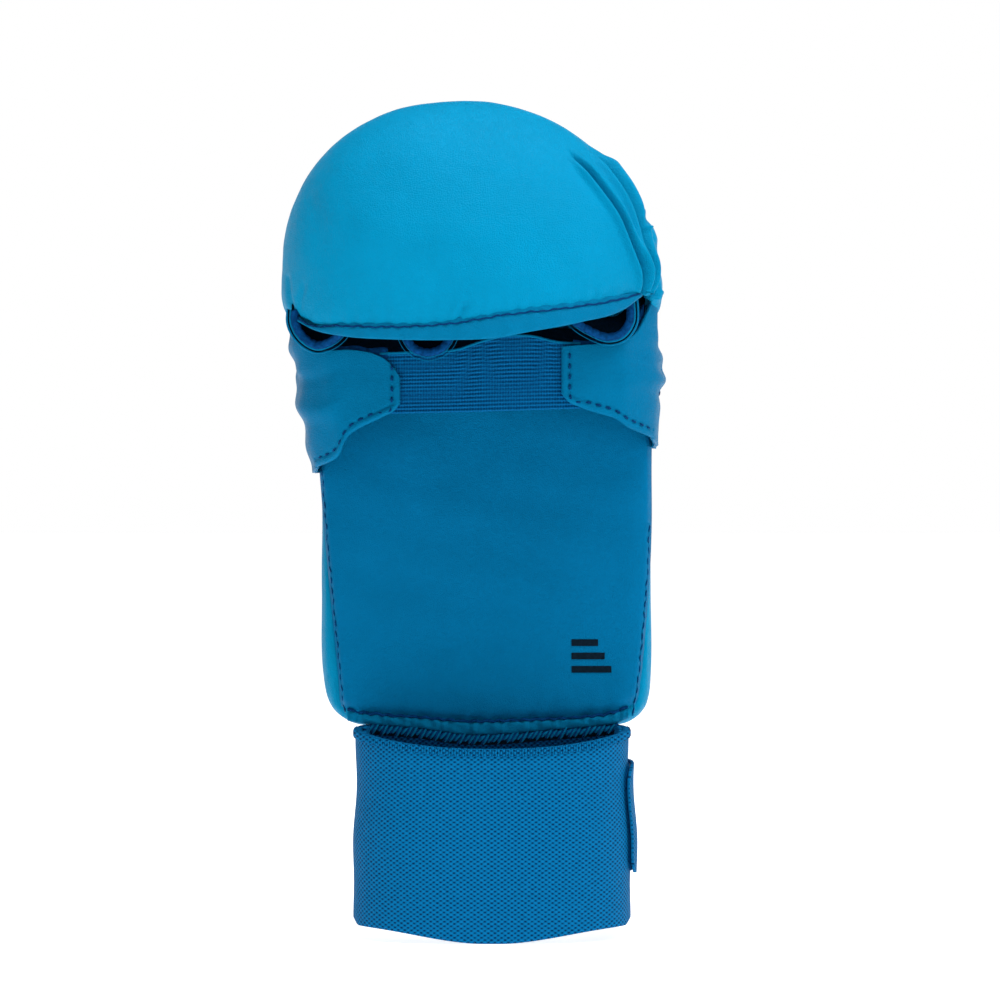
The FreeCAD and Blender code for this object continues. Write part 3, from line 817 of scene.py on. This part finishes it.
def pad_ring(turn, z, shrink):
    """One level of the back pad's outline: a rounded oblong, its front edges rolled towards the palm."""
    cos, sin = rounded(turn, PAD_POWER)
    left = float(spline(LEFT_SIDE, z)) + shrink
    right = float(spline(RIGHT_SIDE, z)) - shrink
    front = PAD_LOW[1] + 1.0 + shrink * 0.5
    rear = PAD_HIGH[1] - 0.5 - shrink
    x = (left + right) / 2 + (right - left) / 2 * cos
    y = (front + rear) / 2 + (rear - front) / 2 * sin * (1 - 0.12 * np.clip(sin, 0, 1) * np.abs(cos) ** 3)
    strip = np.where(x < 0, float(spline(LEFT_SEAM, z)) - left, right - float(spline(RIGHT_SEAM, z)))
    inset = np.where(x < 0, x - left, right - x)
    roll = (1 - smooth_step(0.7 * strip - 0.5, strip + 1.0, inset)) * smooth_step(24, 15, y)
    limit = np.maximum(cap_plan_y(x) - 0.6 - shrink, front + 2.0)
    y = np.where(y > limit, y + (limit - y) * knuckle_share(z), y)
    return points_of(x, y - EDGE_ROLL * roll, z)


def make_back_pad():
    """Padded leather back of the hand, rolled round its front edges and sewn across its back."""
    turn = full_turn(280)
    rings = []
    for z in PAD_FOOT + (PAD_TOP - PAD_FOOT) * np.linspace(0, 1, 200):
        into_top = np.clip(1 - (PAD_TOP - z) / 5.0, 0, 1)
        into_foot = np.clip(1 - (z - PAD_FOOT) / 6.0, 0, 1)
        shrink = 4.0 * (1 - math.sqrt(1 - into_top ** 2)) + 3.5 * (1 - math.sqrt(1 - into_foot ** 2))
        rings.append(pad_ring(turn, z, shrink))
    pad = closed_ring("back_pad", np.array(rings))
    inflate(pad, pressure=3.0, reach=1.6)
    sew_channels(pad)
    dress(pad, "cap", None, "cover_leather", "back_cover", "back_foam")
    bend(pad)
    return surface_tree(pad)


def sewn_line(height, x):
    """Height of a sewn channel across the back."""
    return height + 1.0 * np.sin(x * 0.05 + height)


def side_line(z, sign):
    """Sideways place of the seam that joins the back panel to its side."""
    side = spline(RIGHT_SIDE, z) if sign > 0 else spline(LEFT_SIDE, z)
    return side - sign * (7.0 + 9.0 * knuckle_share(z))


def sew_channels(pad):
    """Press the sewn lines and wrinkles into the back face of the pad."""
    points = read_points(pad)
    x, y, z = points.T
    push = 0.4 * ripple(x, y, z, 2.0, 2.2)
    for height in STITCHED_LINES:
        away = z - sewn_line(height, x)
        gather = 0.25 * np.sin(x * 0.85 + np.sin(x * 0.3)) * bell(away, 5.0)
        push = push - 1.5 * np.exp(-(np.abs(away) / 1.6) ** 1.5) + gather
    for height, depth in BACK_WRINKLES:
        line = height + 2.0 * np.sin(x * 0.045 + height * 0.7)
        reach = smooth_step(-60, -10, x * np.sin(height) + 8)
        push = push - depth * reach * bell(z - line, 1.5)
    for sign in (-1, 1):
        away = x - side_line(z, sign)
        push = push - 0.8 * np.exp(-(np.abs(away) / 1.1) ** 1.5)
    points[:, 1] += push * smooth_step(27, 35, y)
    write_points(pad, points)


def make_back_seams(pad_tree):
    """Rows of stitches along the sewn lines on the back of the hand."""
    rows = []
    for index, height in enumerate(STITCHED_LINES):
        x = np.linspace(float(side_line(height, -1)) + 0.5, float(side_line(height, 1)) - 0.5, 150)
        rows.append((f"back_seam_{index + 1}", x, sewn_line(height, x), BACK_STITCH))
    for label, sign in (("left", -1), ("right", 1)):
        z = np.linspace(66.0, CREASE - 2.0, 220)
        rows.append((f"back_side_seam_{label}", side_line(z, sign), z, BACK_SIDE_STITCH))
    for name, x, z, stitch in rows:
        bend(sew(name, on_back(pad_tree, x, z), (0, 1, 0), stitch, None))


VOXEL = 2.2
PUFF_FRAMES = 12


def apply_modifier(piece, modifier):
    """Make what a modifier does permanent."""
    with bpy.context.temp_override(object=piece, active_object=piece):
        bpy.ops.object.modifier_apply(modifier=modifier.name)


def inflate(piece, pressure, reach):
    """Let cloth simulation puff a padded piece, keeping each point within reach millimetres."""
    bpy.context.view_layer.objects.active = piece
    remesh = piece.modifiers.new("even", "REMESH")
    remesh.mode = "VOXEL"
    remesh.voxel_size = VOXEL * MM
    remesh.use_smooth_shade = True
    apply_modifier(piece, remesh)
    rest = read_points(piece)
    cloth = piece.modifiers.new("puff", "CLOTH")
    settings = cloth.settings
    settings.quality = 5
    settings.mass = 0.3
    settings.tension_stiffness = 40
    settings.compression_stiffness = 40
    settings.bending_stiffness = 4
    settings.use_pressure = True
    settings.uniform_pressure_force = pressure
    settings.effector_weights.gravity = 0
    for number in range(1, PUFF_FRAMES + 1):
        SCENE.frame_set(number)
    move = read_points(piece.evaluated_get(bpy.context.evaluated_depsgraph_get())) - rest
    piece.modifiers.remove(cloth)
    SCENE.frame_set(1)
    size = np.linalg.norm(move, axis=1, keepdims=True)
    move = unit(move) * reach * np.tanh(size / reach)
    write_points(piece, rest + move * smooth_step(25, 33, rest[:, 1:2]))
    finer = piece.modifiers.new("finer", "SUBSURF")
    finer.levels = 1
    apply_modifier(piece, finer)
    piece.data.shade_smooth()


def lining_depth(x, z):
    """Depth of the lining's face: gently full in the middle and above its foot, drawn in at its seams."""
    left = spline(LEFT_SEAM, z) - SEAM_TUCK
    right = spline(RIGHT_SEAM, z) + SEAM_TUCK
    foot = spline(HEM_SEAM, x)
    across = np.clip((x - left) / (right - left), 0, 1)
    up = np.clip((z - foot) / (LINING_TOP - foot), 0, 1)
    middle = np.sin(math.pi * across) ** 0.8 * np.sin(math.pi * np.clip(up * 0.9 + 0.05, 0, 1)) ** 0.5
    swell = bell(z - foot - 6, 12)
    edge = np.minimum(across * (right - left), (1 - across) * (right - left))
    puff = bell(edge - 5, 4.5)
    groove = bell(edge, SEAM_TUCK)
    tuck = bell(z - foot, 1.8)
    return PAD_LOW[1] - 0.6 - 1.4 * middle - 1.2 * swell - 0.5 * puff + 3.2 * groove + 1.6 * tuck


def lining_face(x, z):
    """The lining's face with its slight creases and the gathers along its sewn foot."""
    near_foot = np.exp(-np.clip(z - spline(HEM_SEAM, x), 0, None) / 3.5)
    gathers = np.sin(x * 0.8 + 0.8 * np.sin(x * 0.33))
    crease = ripple(x * 0.7, z * 0.3, z + 0.2 * x, 5.0, 2.6)
    return lining_depth(x, z) + 0.6 * crease + 0.35 * near_foot * gathers


def make_lining():
    """Smooth lining panel that faces the hand, with its seams; its upper part is a near-black sheet, painted
    shadow under the band and the cap.
    """
    rows = 240
    share = np.linspace(0, 1, 200)[None, :]
    level = np.linspace(0, 1, rows)[:, None]
    z = LINING_FOOT + (LINING_TOP - LINING_FOOT) * level
    for _ in range(3):
        x = (spline(LEFT_SEAM, z) - SEAM_TUCK) * (1 - share) + (spline(RIGHT_SEAM, z) + SEAM_TUCK) * share
        foot = spline(HEM_SEAM, x)
        z = foot + (LINING_TOP - foot) * level
    grid = points_of(x, lining_face(x, z), z)
    split = int(rows * (LINING_SPLIT - LINING_FOOT) / (LINING_TOP - LINING_FOOT))
    panel = shell("palm_lining_panel", grid[:split + 2], 1.0)
    dress(panel, "lining", "hand_back", "lining_leather", "palm_lining")
    # Above the split the lining is near-black: painted shadow under the band and the cap.
    inner = shell("palm_lining_shadow", grid[split:] + (0, 0.4, 0), 0.6)
    dress(inner, "dark", "hand_back", "lining_leather")
    for name, seam, low, high in (("lining_seam_left", LEFT_SEAM, 65.0, 139.0),
                                  ("lining_seam_right", RIGHT_SEAM, 64.0, 122.0)):
        height = np.linspace(low, high, 160)
        across = spline(seam, height) + 0.12 * np.sin(height * 0.9) + 0.08 * np.sin(height * 2.3)
        face = points_of(across, lining_depth(across, height), height)
        sew(name, face - (0, 0.1, 0), (0, -1, 0), LINING_STITCH, nodes=(name,), lift=0.05)
        dress(tube(f"{name}_groove", face + (0, 0.25, 0), 0.32), "wing", "hand_back", "thread")


def make_wrist_hem():
    """Gathered leather roll under the lining, with its seam and its slanting overlock stitches."""
    x = np.linspace(HEM_SEAM[0][0] + 1.6, HEM_SEAM[-1][0] - 1.6, 420)
    top = spline(HEM_SEAM, x)
    foot = top - 3.6 - 0.5 * np.sin(x * 0.11 + 1.2)
    gather = 0.5 * np.sin(x * 0.95 + 1.4 * np.sin(x * 0.27)) + 0.35 * np.sin(x * 2.1 + np.sin(x * 0.7))
    turn = full_turn(30)
    thick = (1.6 + 0.5 * gather)[:, None]
    lump = 1 + 0.12 * np.sin(3 * turn + x[:, None] * 0.8)
    ring_y = PAD_LOW[1] - 0.3 + thick * lump * np.sin(turn)
    ring_z = ((top + foot) / 2)[:, None] + ((top - foot) / 2)[:, None] * rounded(turn, 2.5)[0]
    roll = closed_ring("wrist_roll", points_of(x[:, None], ring_y, ring_z))
    dress(roll, "hem", "hand_back", "knit_binding", "wrist_binding")
    face = PAD_LOW[1] - 1.5 - 0.25 * gather
    row = points_of(x, face, top + 0.2 * np.sin(x * 1.7))
    dress(tube("wrist_seam_groove", row + (0, 0.5, 0.1), 0.45), "knit", "hand_back", "thread")
    sew("wrist_seam", row, (0, -1, 0), WRIST_STITCH, nodes=("wrist_seam",))
    make_overlock(x, face, foot)


def make_overlock(x, face, foot):
    """Twisted strands that bind the raw edge below the roll, some in paler leather as painted highlights,
    over a near-black tube that is painted shadow in the gap below.
    """
    inside = (x > CUFF_LOW[0] + 2.5) & (x < CUFF_RIGHT - 2.5)
    x, face, foot = x[inside], face[inside], foot[inside]
    gap_shadow = tube("wrist_gap_shadow", points_of(x, face + 1.6, foot - 1.6), 1.5, 12)
    dress(gap_shadow, "dark", "hand_back", "knit_binding")
    turn = full_turn(8)
    ring = points_of(np.cos(turn) * 0.8, np.sin(turn), np.cos(turn) * -0.6)
    step = np.linspace(-1, 1, 7)
    size = 0.36 * np.sqrt(np.maximum(0.04, 1 - np.abs(step) ** 3))
    # The second row, in paler leather and set forward, is painted highlight on the twisted binding.
    for name, material, shift, lift in (("wrist_overlock", "knit", 0.0, 0.0),
                                        ("wrist_overlock_painted_highlights", "hem", 0.65, 0.1)):
        strands = []
        for index, middle in enumerate(np.arange(x[0] + 1 + shift, x[-1] - 1, 1.45)):
            base = np.interp(middle, x, foot) - 1.1
            front = np.interp(middle, x, face) + 0.2 - lift
            reach = 1.5 + 0.4 * math.sin(index * 2.4)
            spine = points_of(middle + step * 1.1, front + 0.5 * step * step, base + step * reach)
            strands.append(strand(spine, ring, size))
        dress(beads(name, strands), material, "hand_back", "knit_binding")


def make_print():
    """Three plain bars printed on the lining."""
    rise = (PRINT_HIGH[2] - PRINT_LOW[2]) / 5
    width = PRINT_HIGH[0] - PRINT_LOW[0]
    for index in range(3):
        x = PRINT_LOW[0] + np.linspace(0, width - 2 * index, 40)[None, :]
        z = PRINT_LOW[2] + 2 * rise * index + np.linspace(0, rise, 8)[:, None]
        grid = points_of(x, lining_face(x, z) - 0.1, z)
        nodes = ("lining_print",) if index == 0 else ()
        dress(shell(f"print_bar_{index + 1}", grid, 0.12, side=-1.0), "ink", "hand_back", "print_ink", *nodes)


# ------------------------------------------------------------------ wings and palm elastic

WINGS = {
    "left": {
        "sign": -1.0, "edge": -20.6, "side": LEFT_SIDE,
        "foot": [(0.0, 157.0), (0.02, 154.9), (0.05, 153.4), (0.18, 148.2), (0.36, 140.9), (0.5, 138.4),
                 (1.0, 137.0)],
        "top": [(0.0, 164.5), (0.03, 168.5), (0.08, 171.6), (0.12, 172.4), (0.28, 172.7), (0.36, 174.0),
                (0.43, 179.0), (0.48, 184.5), (0.56, 189.0), (1.0, 190.0)],
    },
    "right": {
        "sign": 1.0, "edge": 26.4, "side": RIGHT_SIDE,
        "foot": [(0.0, 160.0), (0.02, 157.8), (0.06, 156.0), (0.2, 152.6), (0.36, 149.4), (0.5, 147.0),
                 (1.0, 144.5)],
        "top": [(0.0, 173.6), (0.05, 174.0), (0.2, 174.9), (0.3, 175.9), (0.37, 178.6), (0.43, 184.0),
                (0.48, 188.6), (0.56, 190.5), (1.0, 191.0)],
    },
}
WING_FACE = -19.0
WING_OUT = 1.2
WING_SPACE = 1.5
CAP_TUCK = 1.4

# A wing is seated only where the pad reaches this share of the way out to it.
SEAT_SHARE = 0.85


def wing_weights(s):
    """Smooth weights of the seven plan points along a wing."""
    knots = np.linspace(0, 1, 7)
    return np.stack([spline(list(zip(knots, np.eye(7)[k])), s) for k in range(7)], axis=0)


def wing_point(wing, s, z, sink=0.0):
    """A place on a wing: s runs from its free edge round the side of the hand to the back."""
    sign = wing["sign"]
    side = spline(wing["side"], z) + sign * (WING_OUT - sink)
    face = WING_FACE + sink
    edge = wing["edge"]
    plan_x = (edge, edge + 0.47 * (side - edge), side - sign * 9.5, side - sign * 2.2, side, side,
              side - sign * 0.3)
    plan_y = (face, face + 0.3, face + 2.0, face + 9.0, 4.0, 13.0, 24.5 - 2.5 * knuckle_share(z))
    weights = wing_weights(s)
    x = sum(w * p for w, p in zip(weights, plan_x))
    y = sum(w * p for w, p in zip(weights, plan_y))
    return x, y


def hug(x, y, z, s, sign, pad_tree):
    """Bring the rear of a wing down onto the pad, and tuck its top in under the cap's outline."""
    found = np.zeros(x.shape)
    for index in np.ndindex(x.shape):
        if s[index] < 0.45:
            continue
        start = Vector((sign * RAY_START, y[index] * MM, z[index] * MM))
        hit = pad_tree.ray_cast(start, Vector((-sign, 0, 0)))[0]
        if hit is not None and hit.x * sign > SEAT_SHARE * abs(x[index]) * MM:
            found[index] = abs(hit.x) / MM + WING_SPACE
    outline = cap_plan_x(np.clip(y, 0, 0.9 * DEPTH)) - CAP_TUCK
    near = smooth_step(0.62, 0.86, s) * (found > 0)
    size = np.maximum(np.abs(x) * (1 - near) + found * near, found)
    share = smooth_step(170, 184, z) * smooth_step(0.3, 0.5, s)
    return sign * (size + np.minimum(outline - size, 0) * share)


def wing_seat(wing, s, z, pad_tree):
    """Points of a wing where it lies on the pad."""
    s, z = np.broadcast_arrays(s, z)
    x, y = wing_point(wing, s, z)
    return points_of(hug(x, y, z, s, wing["sign"], pad_tree), y, z)


def wing_relief(wing, x, y, z, s, foot):
    """How far a wing's surface stands out: its folded border, side puckers, waves and one long fold."""
    sign = wing["sign"]
    to_edge = np.minimum(np.abs(x - wing["edge"]), z - foot)
    border = 0.28 * bell(to_edge - 1.1, 0.9) - 0.3 * bell(to_edge - 2.4, 0.45)
    border = border - 0.5 * bell(to_edge, 0.35)
    uneven = np.sin(z * 0.62 + 0.5 * sign + 1.1 * np.sin(z * 0.19)) * (0.6 + 0.4 * np.sin(z * 0.23 + sign))
    pucker = 0.6 * uneven * smooth_step(0.42, 0.6, s) * (1 - smooth_step(0.8, 0.97, s))
    wave = 0.3 * ripple(x, y, z, 3.0 + sign, 1.6) * (1 - smooth_step(0.85, 1.0, s))
    above = z - (foot + 7 + 20 * s)
    fold = 1.0 * bell(above, 3.2) * smooth_step(0.12, 0.4, s)
    fold = fold - 0.85 * bell(above - 9, 2.6) * smooth_step(0.18, 0.42, s)
    return border * (s < 0.5) + pucker + wave + fold * (1 - smooth_step(0.7, 0.95, s))


def make_wing(label, pad_tree):
    """One leather wing with its stitches, its seams and its facing."""
    wing = WINGS[label]
    sign = wing["sign"]
    rows, columns = 110, 300
    s = np.linspace(0, 1, columns)[None, :]
    foot = spline(wing["foot"], s)
    z = foot + (spline(wing["top"], s) - foot) * np.linspace(0, 1, rows)[:, None]
    s = np.broadcast_to(s, z.shape)
    x, y = wing_point(wing, s, z)
    grid = points_of(x, y, z)
    outward = grid_normals(grid, False)
    if outward[rows // 2, columns // 4, 1] > 0:
        outward = -outward
    grid = grid + outward * wing_relief(wing, x, y, z, s, foot)[..., None]
    grid[..., 0] = hug(grid[..., 0], grid[..., 1], grid[..., 2], s, sign, pad_tree)
    piece = shell(f"wing_{label}_leather", grid, 1.3, side=sign)
    bend(dress(piece, "wing", None, "cover_leather", f"wing_{label}"))
    make_wing_stitches(label, wing)
    make_side_seams(label, wing, pad_tree)
    make_wing_facing(label, wing)


def make_wing_stitches(label, wing):
    """The sewn row inside a wing's free edge and lower edge."""
    inset = 2.4
    sign = wing["sign"]
    s = np.linspace(0.47, 0.075, 60)
    low = spline(wing["foot"], s) + inset
    x, y = wing_point(wing, s, low)
    up = np.linspace(float(low[-1]) + 0.5, float(spline(wing["top"], 0.06)) - 0.8, 30)
    x_up = wing["edge"] + sign * (inset + 0.5 * np.exp(-(up - low[-1]) / 1.5))
    keep = np.abs(x - wing["edge"]) > inset + 0.3
    route = np.concatenate([points_of(x, y, low)[keep], points_of(x_up, WING_FACE, up)])
    path = path3(route[::4], 160) + (0, 0.1, 0)
    sew(f"wing_{label}_stitches", path, (sign * 0.15, -1, 0), WING_STITCH)


def make_side_seams(label, wing, pad_tree):
    """Stitches where a wing is sewn to the side of the back pad and to the cap."""
    z = np.linspace(float(spline(wing["foot"], 0.97)) + 1.5, float(spline(wing["top"], 0.97)) - 1.5, 110)
    s = np.linspace(0.56, 0.95, 110)
    routes = {"side": wing_seat(wing, 0.965, z, pad_tree),
              "top": wing_seat(wing, s, spline(wing["top"], s) - 1.6, pad_tree)}
    for place, route in routes.items():
        name = f"wing_{label}_{place}_seam"
        bend(sew(name, route, (wing["sign"], 0, 0), WING_SEAM_STITCH, None))


def make_wing_facing(label, wing):
    """Folded facing that shows above a wing's top edge."""
    s = np.linspace(0.04, 0.44, 120)
    for layer, (rise, sink, material) in enumerate(((1.2, 1.5, "knit"), (0.75, 2.5, "wing"))):
        top = spline(wing["top"], np.maximum(s, 0.1)) + rise
        rows = []
        for level in np.linspace(0, 1, 14):
            z = top - 14 * (1 - level)
            x, y = wing_point(wing, s, z, sink)
            rows.append(points_of(x, y, z + 0.15 * np.sin(x * 0.9)))
        strip = shell(f"wing_{label}_facing_{layer + 1}", np.array(rows), 0.8, side=wing["sign"])
        nodes = (f"wing_facing_{label}",) if layer == 0 else ()
        dress(strip, material, "hand_back", "knit_binding", *nodes)


BAND_TOP = [(-27.0, 171.6), (-12.0, 172.2), (-5.0, 172.6), (4.0, 175.4), (10.0, 176.8), (17.0, 176.8),
            (26.0, 174.9), (32.0, 174.6)]
BAND_FOOT = [(-27.0, 154.0), (0.0, 154.6), (32.0, 155.6)]
RIBS = 18


def make_band():
    """Ribbed palm elastic between the wings, each rib a raised cord."""
    t = np.linspace(0, 1, 360)[:, None]
    x = np.linspace(BAND_LOW[0] - 1, BAND_HIGH[0] + 1, 200)[None, :]
    foot = spline(BAND_FOOT, x)
    top = spline(BAND_TOP, x)
    z = foot + (top - foot) * t
    ribs = np.abs(np.sin(math.pi * RIBS * t)) ** 0.7
    sag = 0.5 * np.cos(math.pi * (x - 3) / 60)
    y = -17.2 - sag - 0.17 * ribs * (0.85 + 0.15 * np.sin(x * 6.0 + 9 * t)) + 0.25 * ripple(x, z, z, 4.0, 2.0)
    band = shell("palm_elastic_band", points_of(x, y, z), 1.3)
    across, _, up = read_points(band).T
    write_weave(band, across, up - np.interp(across, *zip(*BAND_FOOT)))
    dress(band, "band", "hand_back", "palm_elastic", "palm_band")
    line = points_of(x[0], y[-1] - 0.1, top[0])
    dress(tube("palm_elastic_selvedge", line, 0.4), "wing", "hand_back", "palm_elastic")


# ------------------------------------------------------------------ cuff

CUFF_POWER = 3.2
CUFF_RIGHT = TAB_LOW[0] - 1.3
CUFF_MID_X = (CUFF_LOW[0] + CUFF_RIGHT) / 2
CUFF_HALF_X = (CUFF_RIGHT - CUFF_LOW[0]) / 2
CUFF_MID_Y = (CUFF_LOW[1] + REAR_HIGH[1]) / 2
CUFF_HALF_Y = (REAR_HIGH[1] - CUFF_LOW[1]) / 2
SPLIT_Y = CUFF_HIGH[1]


def cuff_outline(turn, out=0.0):
    """Plan of the cuff's outer face at an angle, moved outwards by a distance."""
    x, y = rounded(turn, CUFF_POWER)
    return CUFF_MID_X + (CUFF_HALF_X + out) * x, CUFF_MID_Y + (CUFF_HALF_Y + out) * y


def split_angle():
    """Angle above the X axis at which the cuff's side reaches the strap's ends."""
    share = (SPLIT_Y - CUFF_MID_Y) / CUFF_HALF_Y
    return math.asin(share ** (CUFF_POWER / 2))


def even_turns(start, finish, count, out=0.0):
    """Angles whose outline points are evenly spaced."""
    fine = np.linspace(start, finish, 4000)
    x, y = cuff_outline(fine, out)
    along = running_total(np.hypot(np.diff(x), np.diff(y)))
    at = np.linspace(0, along[-1], count)
    return np.interp(at, along, fine), at


def leaning(x, z):
    """A place across on the cuff, moved with its sides where they wander in and out."""
    return CUFF_MID_X + (x - CUFF_MID_X) * (1 + 0.012 * np.sin(z * 0.09) + 0.006 * np.sin(z * 0.23 + 1))


def cuff_wall(name, start, finish, columns, high, out=0.0, thickness=1.7):
    """A curved wall of cuff cloth between two angles, with its weave map."""
    turn, along = even_turns(start, finish, columns, out)
    x, y = cuff_outline(turn, out)
    t = np.linspace(0, 1, 72)[:, None]
    z = cuff_foot(x) * (1 - t) + high(x) * t
    swell = 0.5 * np.sin(math.pi * t) - 0.25
    depth = y - swell * (y < CUFF_MID_Y) + 0.25 * ripple(x, z, z, 7.0, 2.5)
    wall = shell(name, points_of(leaning(x, z), depth, z), thickness)
    points = read_points(wall)
    share_x = (points[:, 0] - CUFF_MID_X) / CUFF_HALF_X
    share_y = (points[:, 1] - CUFF_MID_Y) / CUFF_HALF_Y
    angle = np.arctan2(signed_power(share_y, CUFF_POWER / 2), signed_power(share_x, CUFF_POWER / 2))
    angle = np.where(angle < start - 0.3, angle + 2 * math.pi, angle)
    write_weave(wall, np.interp(angle, turn, along), points[:, 2])
    return wall


def cuff_foot(x):
    """Lower edge of the cuff: on the ground in the middle, a little raised at its sides."""
    share = np.abs(x - CUFF_MID_X) / CUFF_HALF_X
    return 0.2 + 4.0 * smooth_step(0.05, 0.92, share) + 1.6 * smooth_step(0.95, 1.0, share)


def cuff_top(x):
    """Upper edge of the cuff, which dips in front of the palm."""
    share = (x - CUFF_MID_X) / CUFF_HALF_X
    return 56.7 + 4.4 * np.abs(share) ** 2.2


def rear_top(x):
    """Upper edge of the rear elastic, level and sewn to the foot of the back pad."""
    return 61.1 + 0 * x


UNDERLAP = 0.22
TAB_OUT = 1.9


def make_cuff():
    """Front strap and rear elastic of the wrist cuff, with the rear's laps behind the strap's ends."""
    lift = split_angle()
    left = math.pi - lift
    front = cuff_wall("cuff_front", left, 2 * math.pi + lift, 420, cuff_top)
    dress(front, "cuff", "strap", "cuff_elastic", "strap_front")
    rear = cuff_wall("cuff_rear", lift + 0.02, left - 0.02, 220, rear_top)
    dress(rear, "cuff", "hand_back", "cuff_elastic", "strap_back")
    for label, low, high in (("right", lift - UNDERLAP, lift + 0.1), ("left", left - 0.1, left + 0.12)):
        lap = cuff_wall(f"cuff_underlap_{label}", low, high, 40, rear_top, out=-2.0, thickness=1.0)
        dress(lap, "cuff", "hand_back", "cuff_elastic")
    make_selvedge(lift)


def make_selvedge(lift):
    """Upright ticks of yarn along the strap's upper edge."""
    turn, _ = even_turns(math.pi - lift, 2 * math.pi + lift, 168, 0.12)
    x, y = cuff_outline(turn, 0.12)
    y = y + np.where(y < CUFF_MID_Y, 0.15, -0.15)
    low = cuff_top(x) - 2.3
    rise = 2.3 * np.linspace(0, 1, 6)
    around = full_turn(8)
    ring = points_of(np.cos(around), np.sin(around), 0)
    size = (0.16, 0.36, 0.36, 0.36, 0.36, 0.16)
    strands = [strand(points_of(x[k], y[k], low[k] + rise), ring, size) for k in range(len(turn))]
    ticks = beads("cuff_selvedge_ticks", strands)
    across, _, up = read_points(ticks).T
    write_weave(ticks, across, up)
    dress(ticks, "cuff", "strap", "cuff_elastic")


def side_panel(name, start, finish, out, inset, thickness, corner):
    """A plate of tape round the right side of the cuff, with rounded front corners."""
    turn, along = even_turns(2 * math.pi + start, 2 * math.pi + finish, 90, out)
    x, y = cuff_outline(turn, out)
    cut = np.clip(1 - along / corner, 0, 1)
    inset = inset + corner * (1 - np.sqrt(1 - cut ** 2))
    t = np.linspace(0, 1, 60)[:, None]
    z = (TAB_LOW[2] + inset) * (1 - t) + (TAB_HIGH[2] - inset) * t
    return shell(name, points_of(leaning(x, z), y, z), thickness)


def make_closure():
    """Loop patch, hook patch, tab and its sewn root on the right side of the cuff."""
    loop = side_panel("loop_tape", -0.3, 0.16, out=0.5, inset=0.5, thickness=0.6, corner=5.0)
    dress(loop, "loop", "strap", "loop_tape", "loop_patch")
    hook = side_panel("hook_tape", -0.28, 0.2, out=1.0, inset=0.8, thickness=0.45, corner=5.0)
    dress(hook, "hook", "tab", "hook_tape", "hook_patch")
    tab = side_panel("tab_webbing", -0.34, 0.232, out=TAB_OUT, inset=0.0, thickness=0.85, corner=6.0)
    root = side_panel("tab_root", 0.243, 0.52, out=TAB_OUT, inset=0.0, thickness=TAB_OUT, corner=0.5)
    for piece, body, node in ((tab, "tab", "closure_tab"), (root, "hand_back", "tab_anchor")):
        _, across, up = read_points(piece).T
        write_weave(piece, across, up)
        dress(piece, "cuff", body, "tab_webbing", node)
    turn, _ = even_turns(2 * math.pi + 0.28, 2 * math.pi + 0.47, 4, 2.0)
    x, y = cuff_outline(turn, 2.0)
    up = np.linspace(TAB_LOW[2] + 2, TAB_HIGH[2] - 2, 60)
    for k in (1, 2):
        route = points_of(leaning(x[k], up), y[k], up)
        sew(f"tab_root_stitches_{k}", route, (1, 0.3, 0), TAB_STITCH)


# ------------------------------------------------------------------ studio

FLOOR_REACH = 12000.0
FLOOR_LINES = 25


def make_studio():
    """Seamless pale floor, soft lights, pale surroundings and the camera."""
    at = np.linspace(-FLOOR_REACH, FLOOR_REACH, FLOOR_LINES)
    points = [(x, y, 0.0) for y in at for x in at]
    floor = make_mesh("studio_floor", points, grid_faces(FLOOR_LINES, FLOOR_LINES, False))
    floor.data.materials.append(studio_white("studio_paper"))
    add_light("key_softbox", (0.6, -0.5, 1.0), (0.0, 0.0, 0.15), size=0.6, power=5.5)
    add_light("top_softbox", (0.1, -0.2, 1.1), (0.0, 0.0, 0.2), size=0.8, power=12.0)
    make_world()
    SCENE.view_settings.view_transform = "Standard"
    lens = bpy.data.cameras.new("photo_camera")
    lens.lens = 121.2
    lens.sensor_width = 36.0
    lens.dof.use_dof = False
    camera = bpy.data.objects.new("photo_camera", lens)
    camera.location = (0.0085, -1.0, 0.1289)
    camera.rotation_euler = (math.pi / 2, 0, 0)
    SCENE.collection.objects.link(camera)
    SCENE.camera = camera


def make_world():
    """Pale surroundings: bright near the horizon, dimmer overhead."""
    graph = Graph(bpy.data.worlds.new("studio_air"))
    direction = graph.add("TexCoord", {})["Generated"]
    height = graph.add("SeparateXYZ", {"Vector": direction})["Z"]
    air = graph.ramp(height, (0.24, grey(1.0)), (0.4, grey(0.05)))
    graph.fill(graph.tree.nodes["Background"], {"Color": air, "Strength": 1.0})
    SCENE.world = graph.owner


def add_light(name, place, target, size, power):
    """A soft square light aimed at a target."""
    data = bpy.data.lights.new(name, "AREA")
    data.size = size
    data.energy = power
    light = bpy.data.objects.new(name, data)
    light.location = place
    aim = np.array(target) - np.array(place)
    flat = math.hypot(aim[0], aim[1])
    light.rotation_euler = (math.atan2(flat, -aim[2]), 0, math.atan2(aim[1], aim[0]) - math.pi / 2)
    SCENE.collection.objects.link(light)


make_studio()
make_cap()
make_finger_hollow_shade()
make_hem()
make_finger_loops()
pad_tree = make_back_pad()
make_back_seams(pad_tree)
make_lining()
make_wrist_hem()
make_print()
make_wing("left", pad_tree)
make_wing("right", pad_tree)
make_band()
make_cuff()
make_closure()
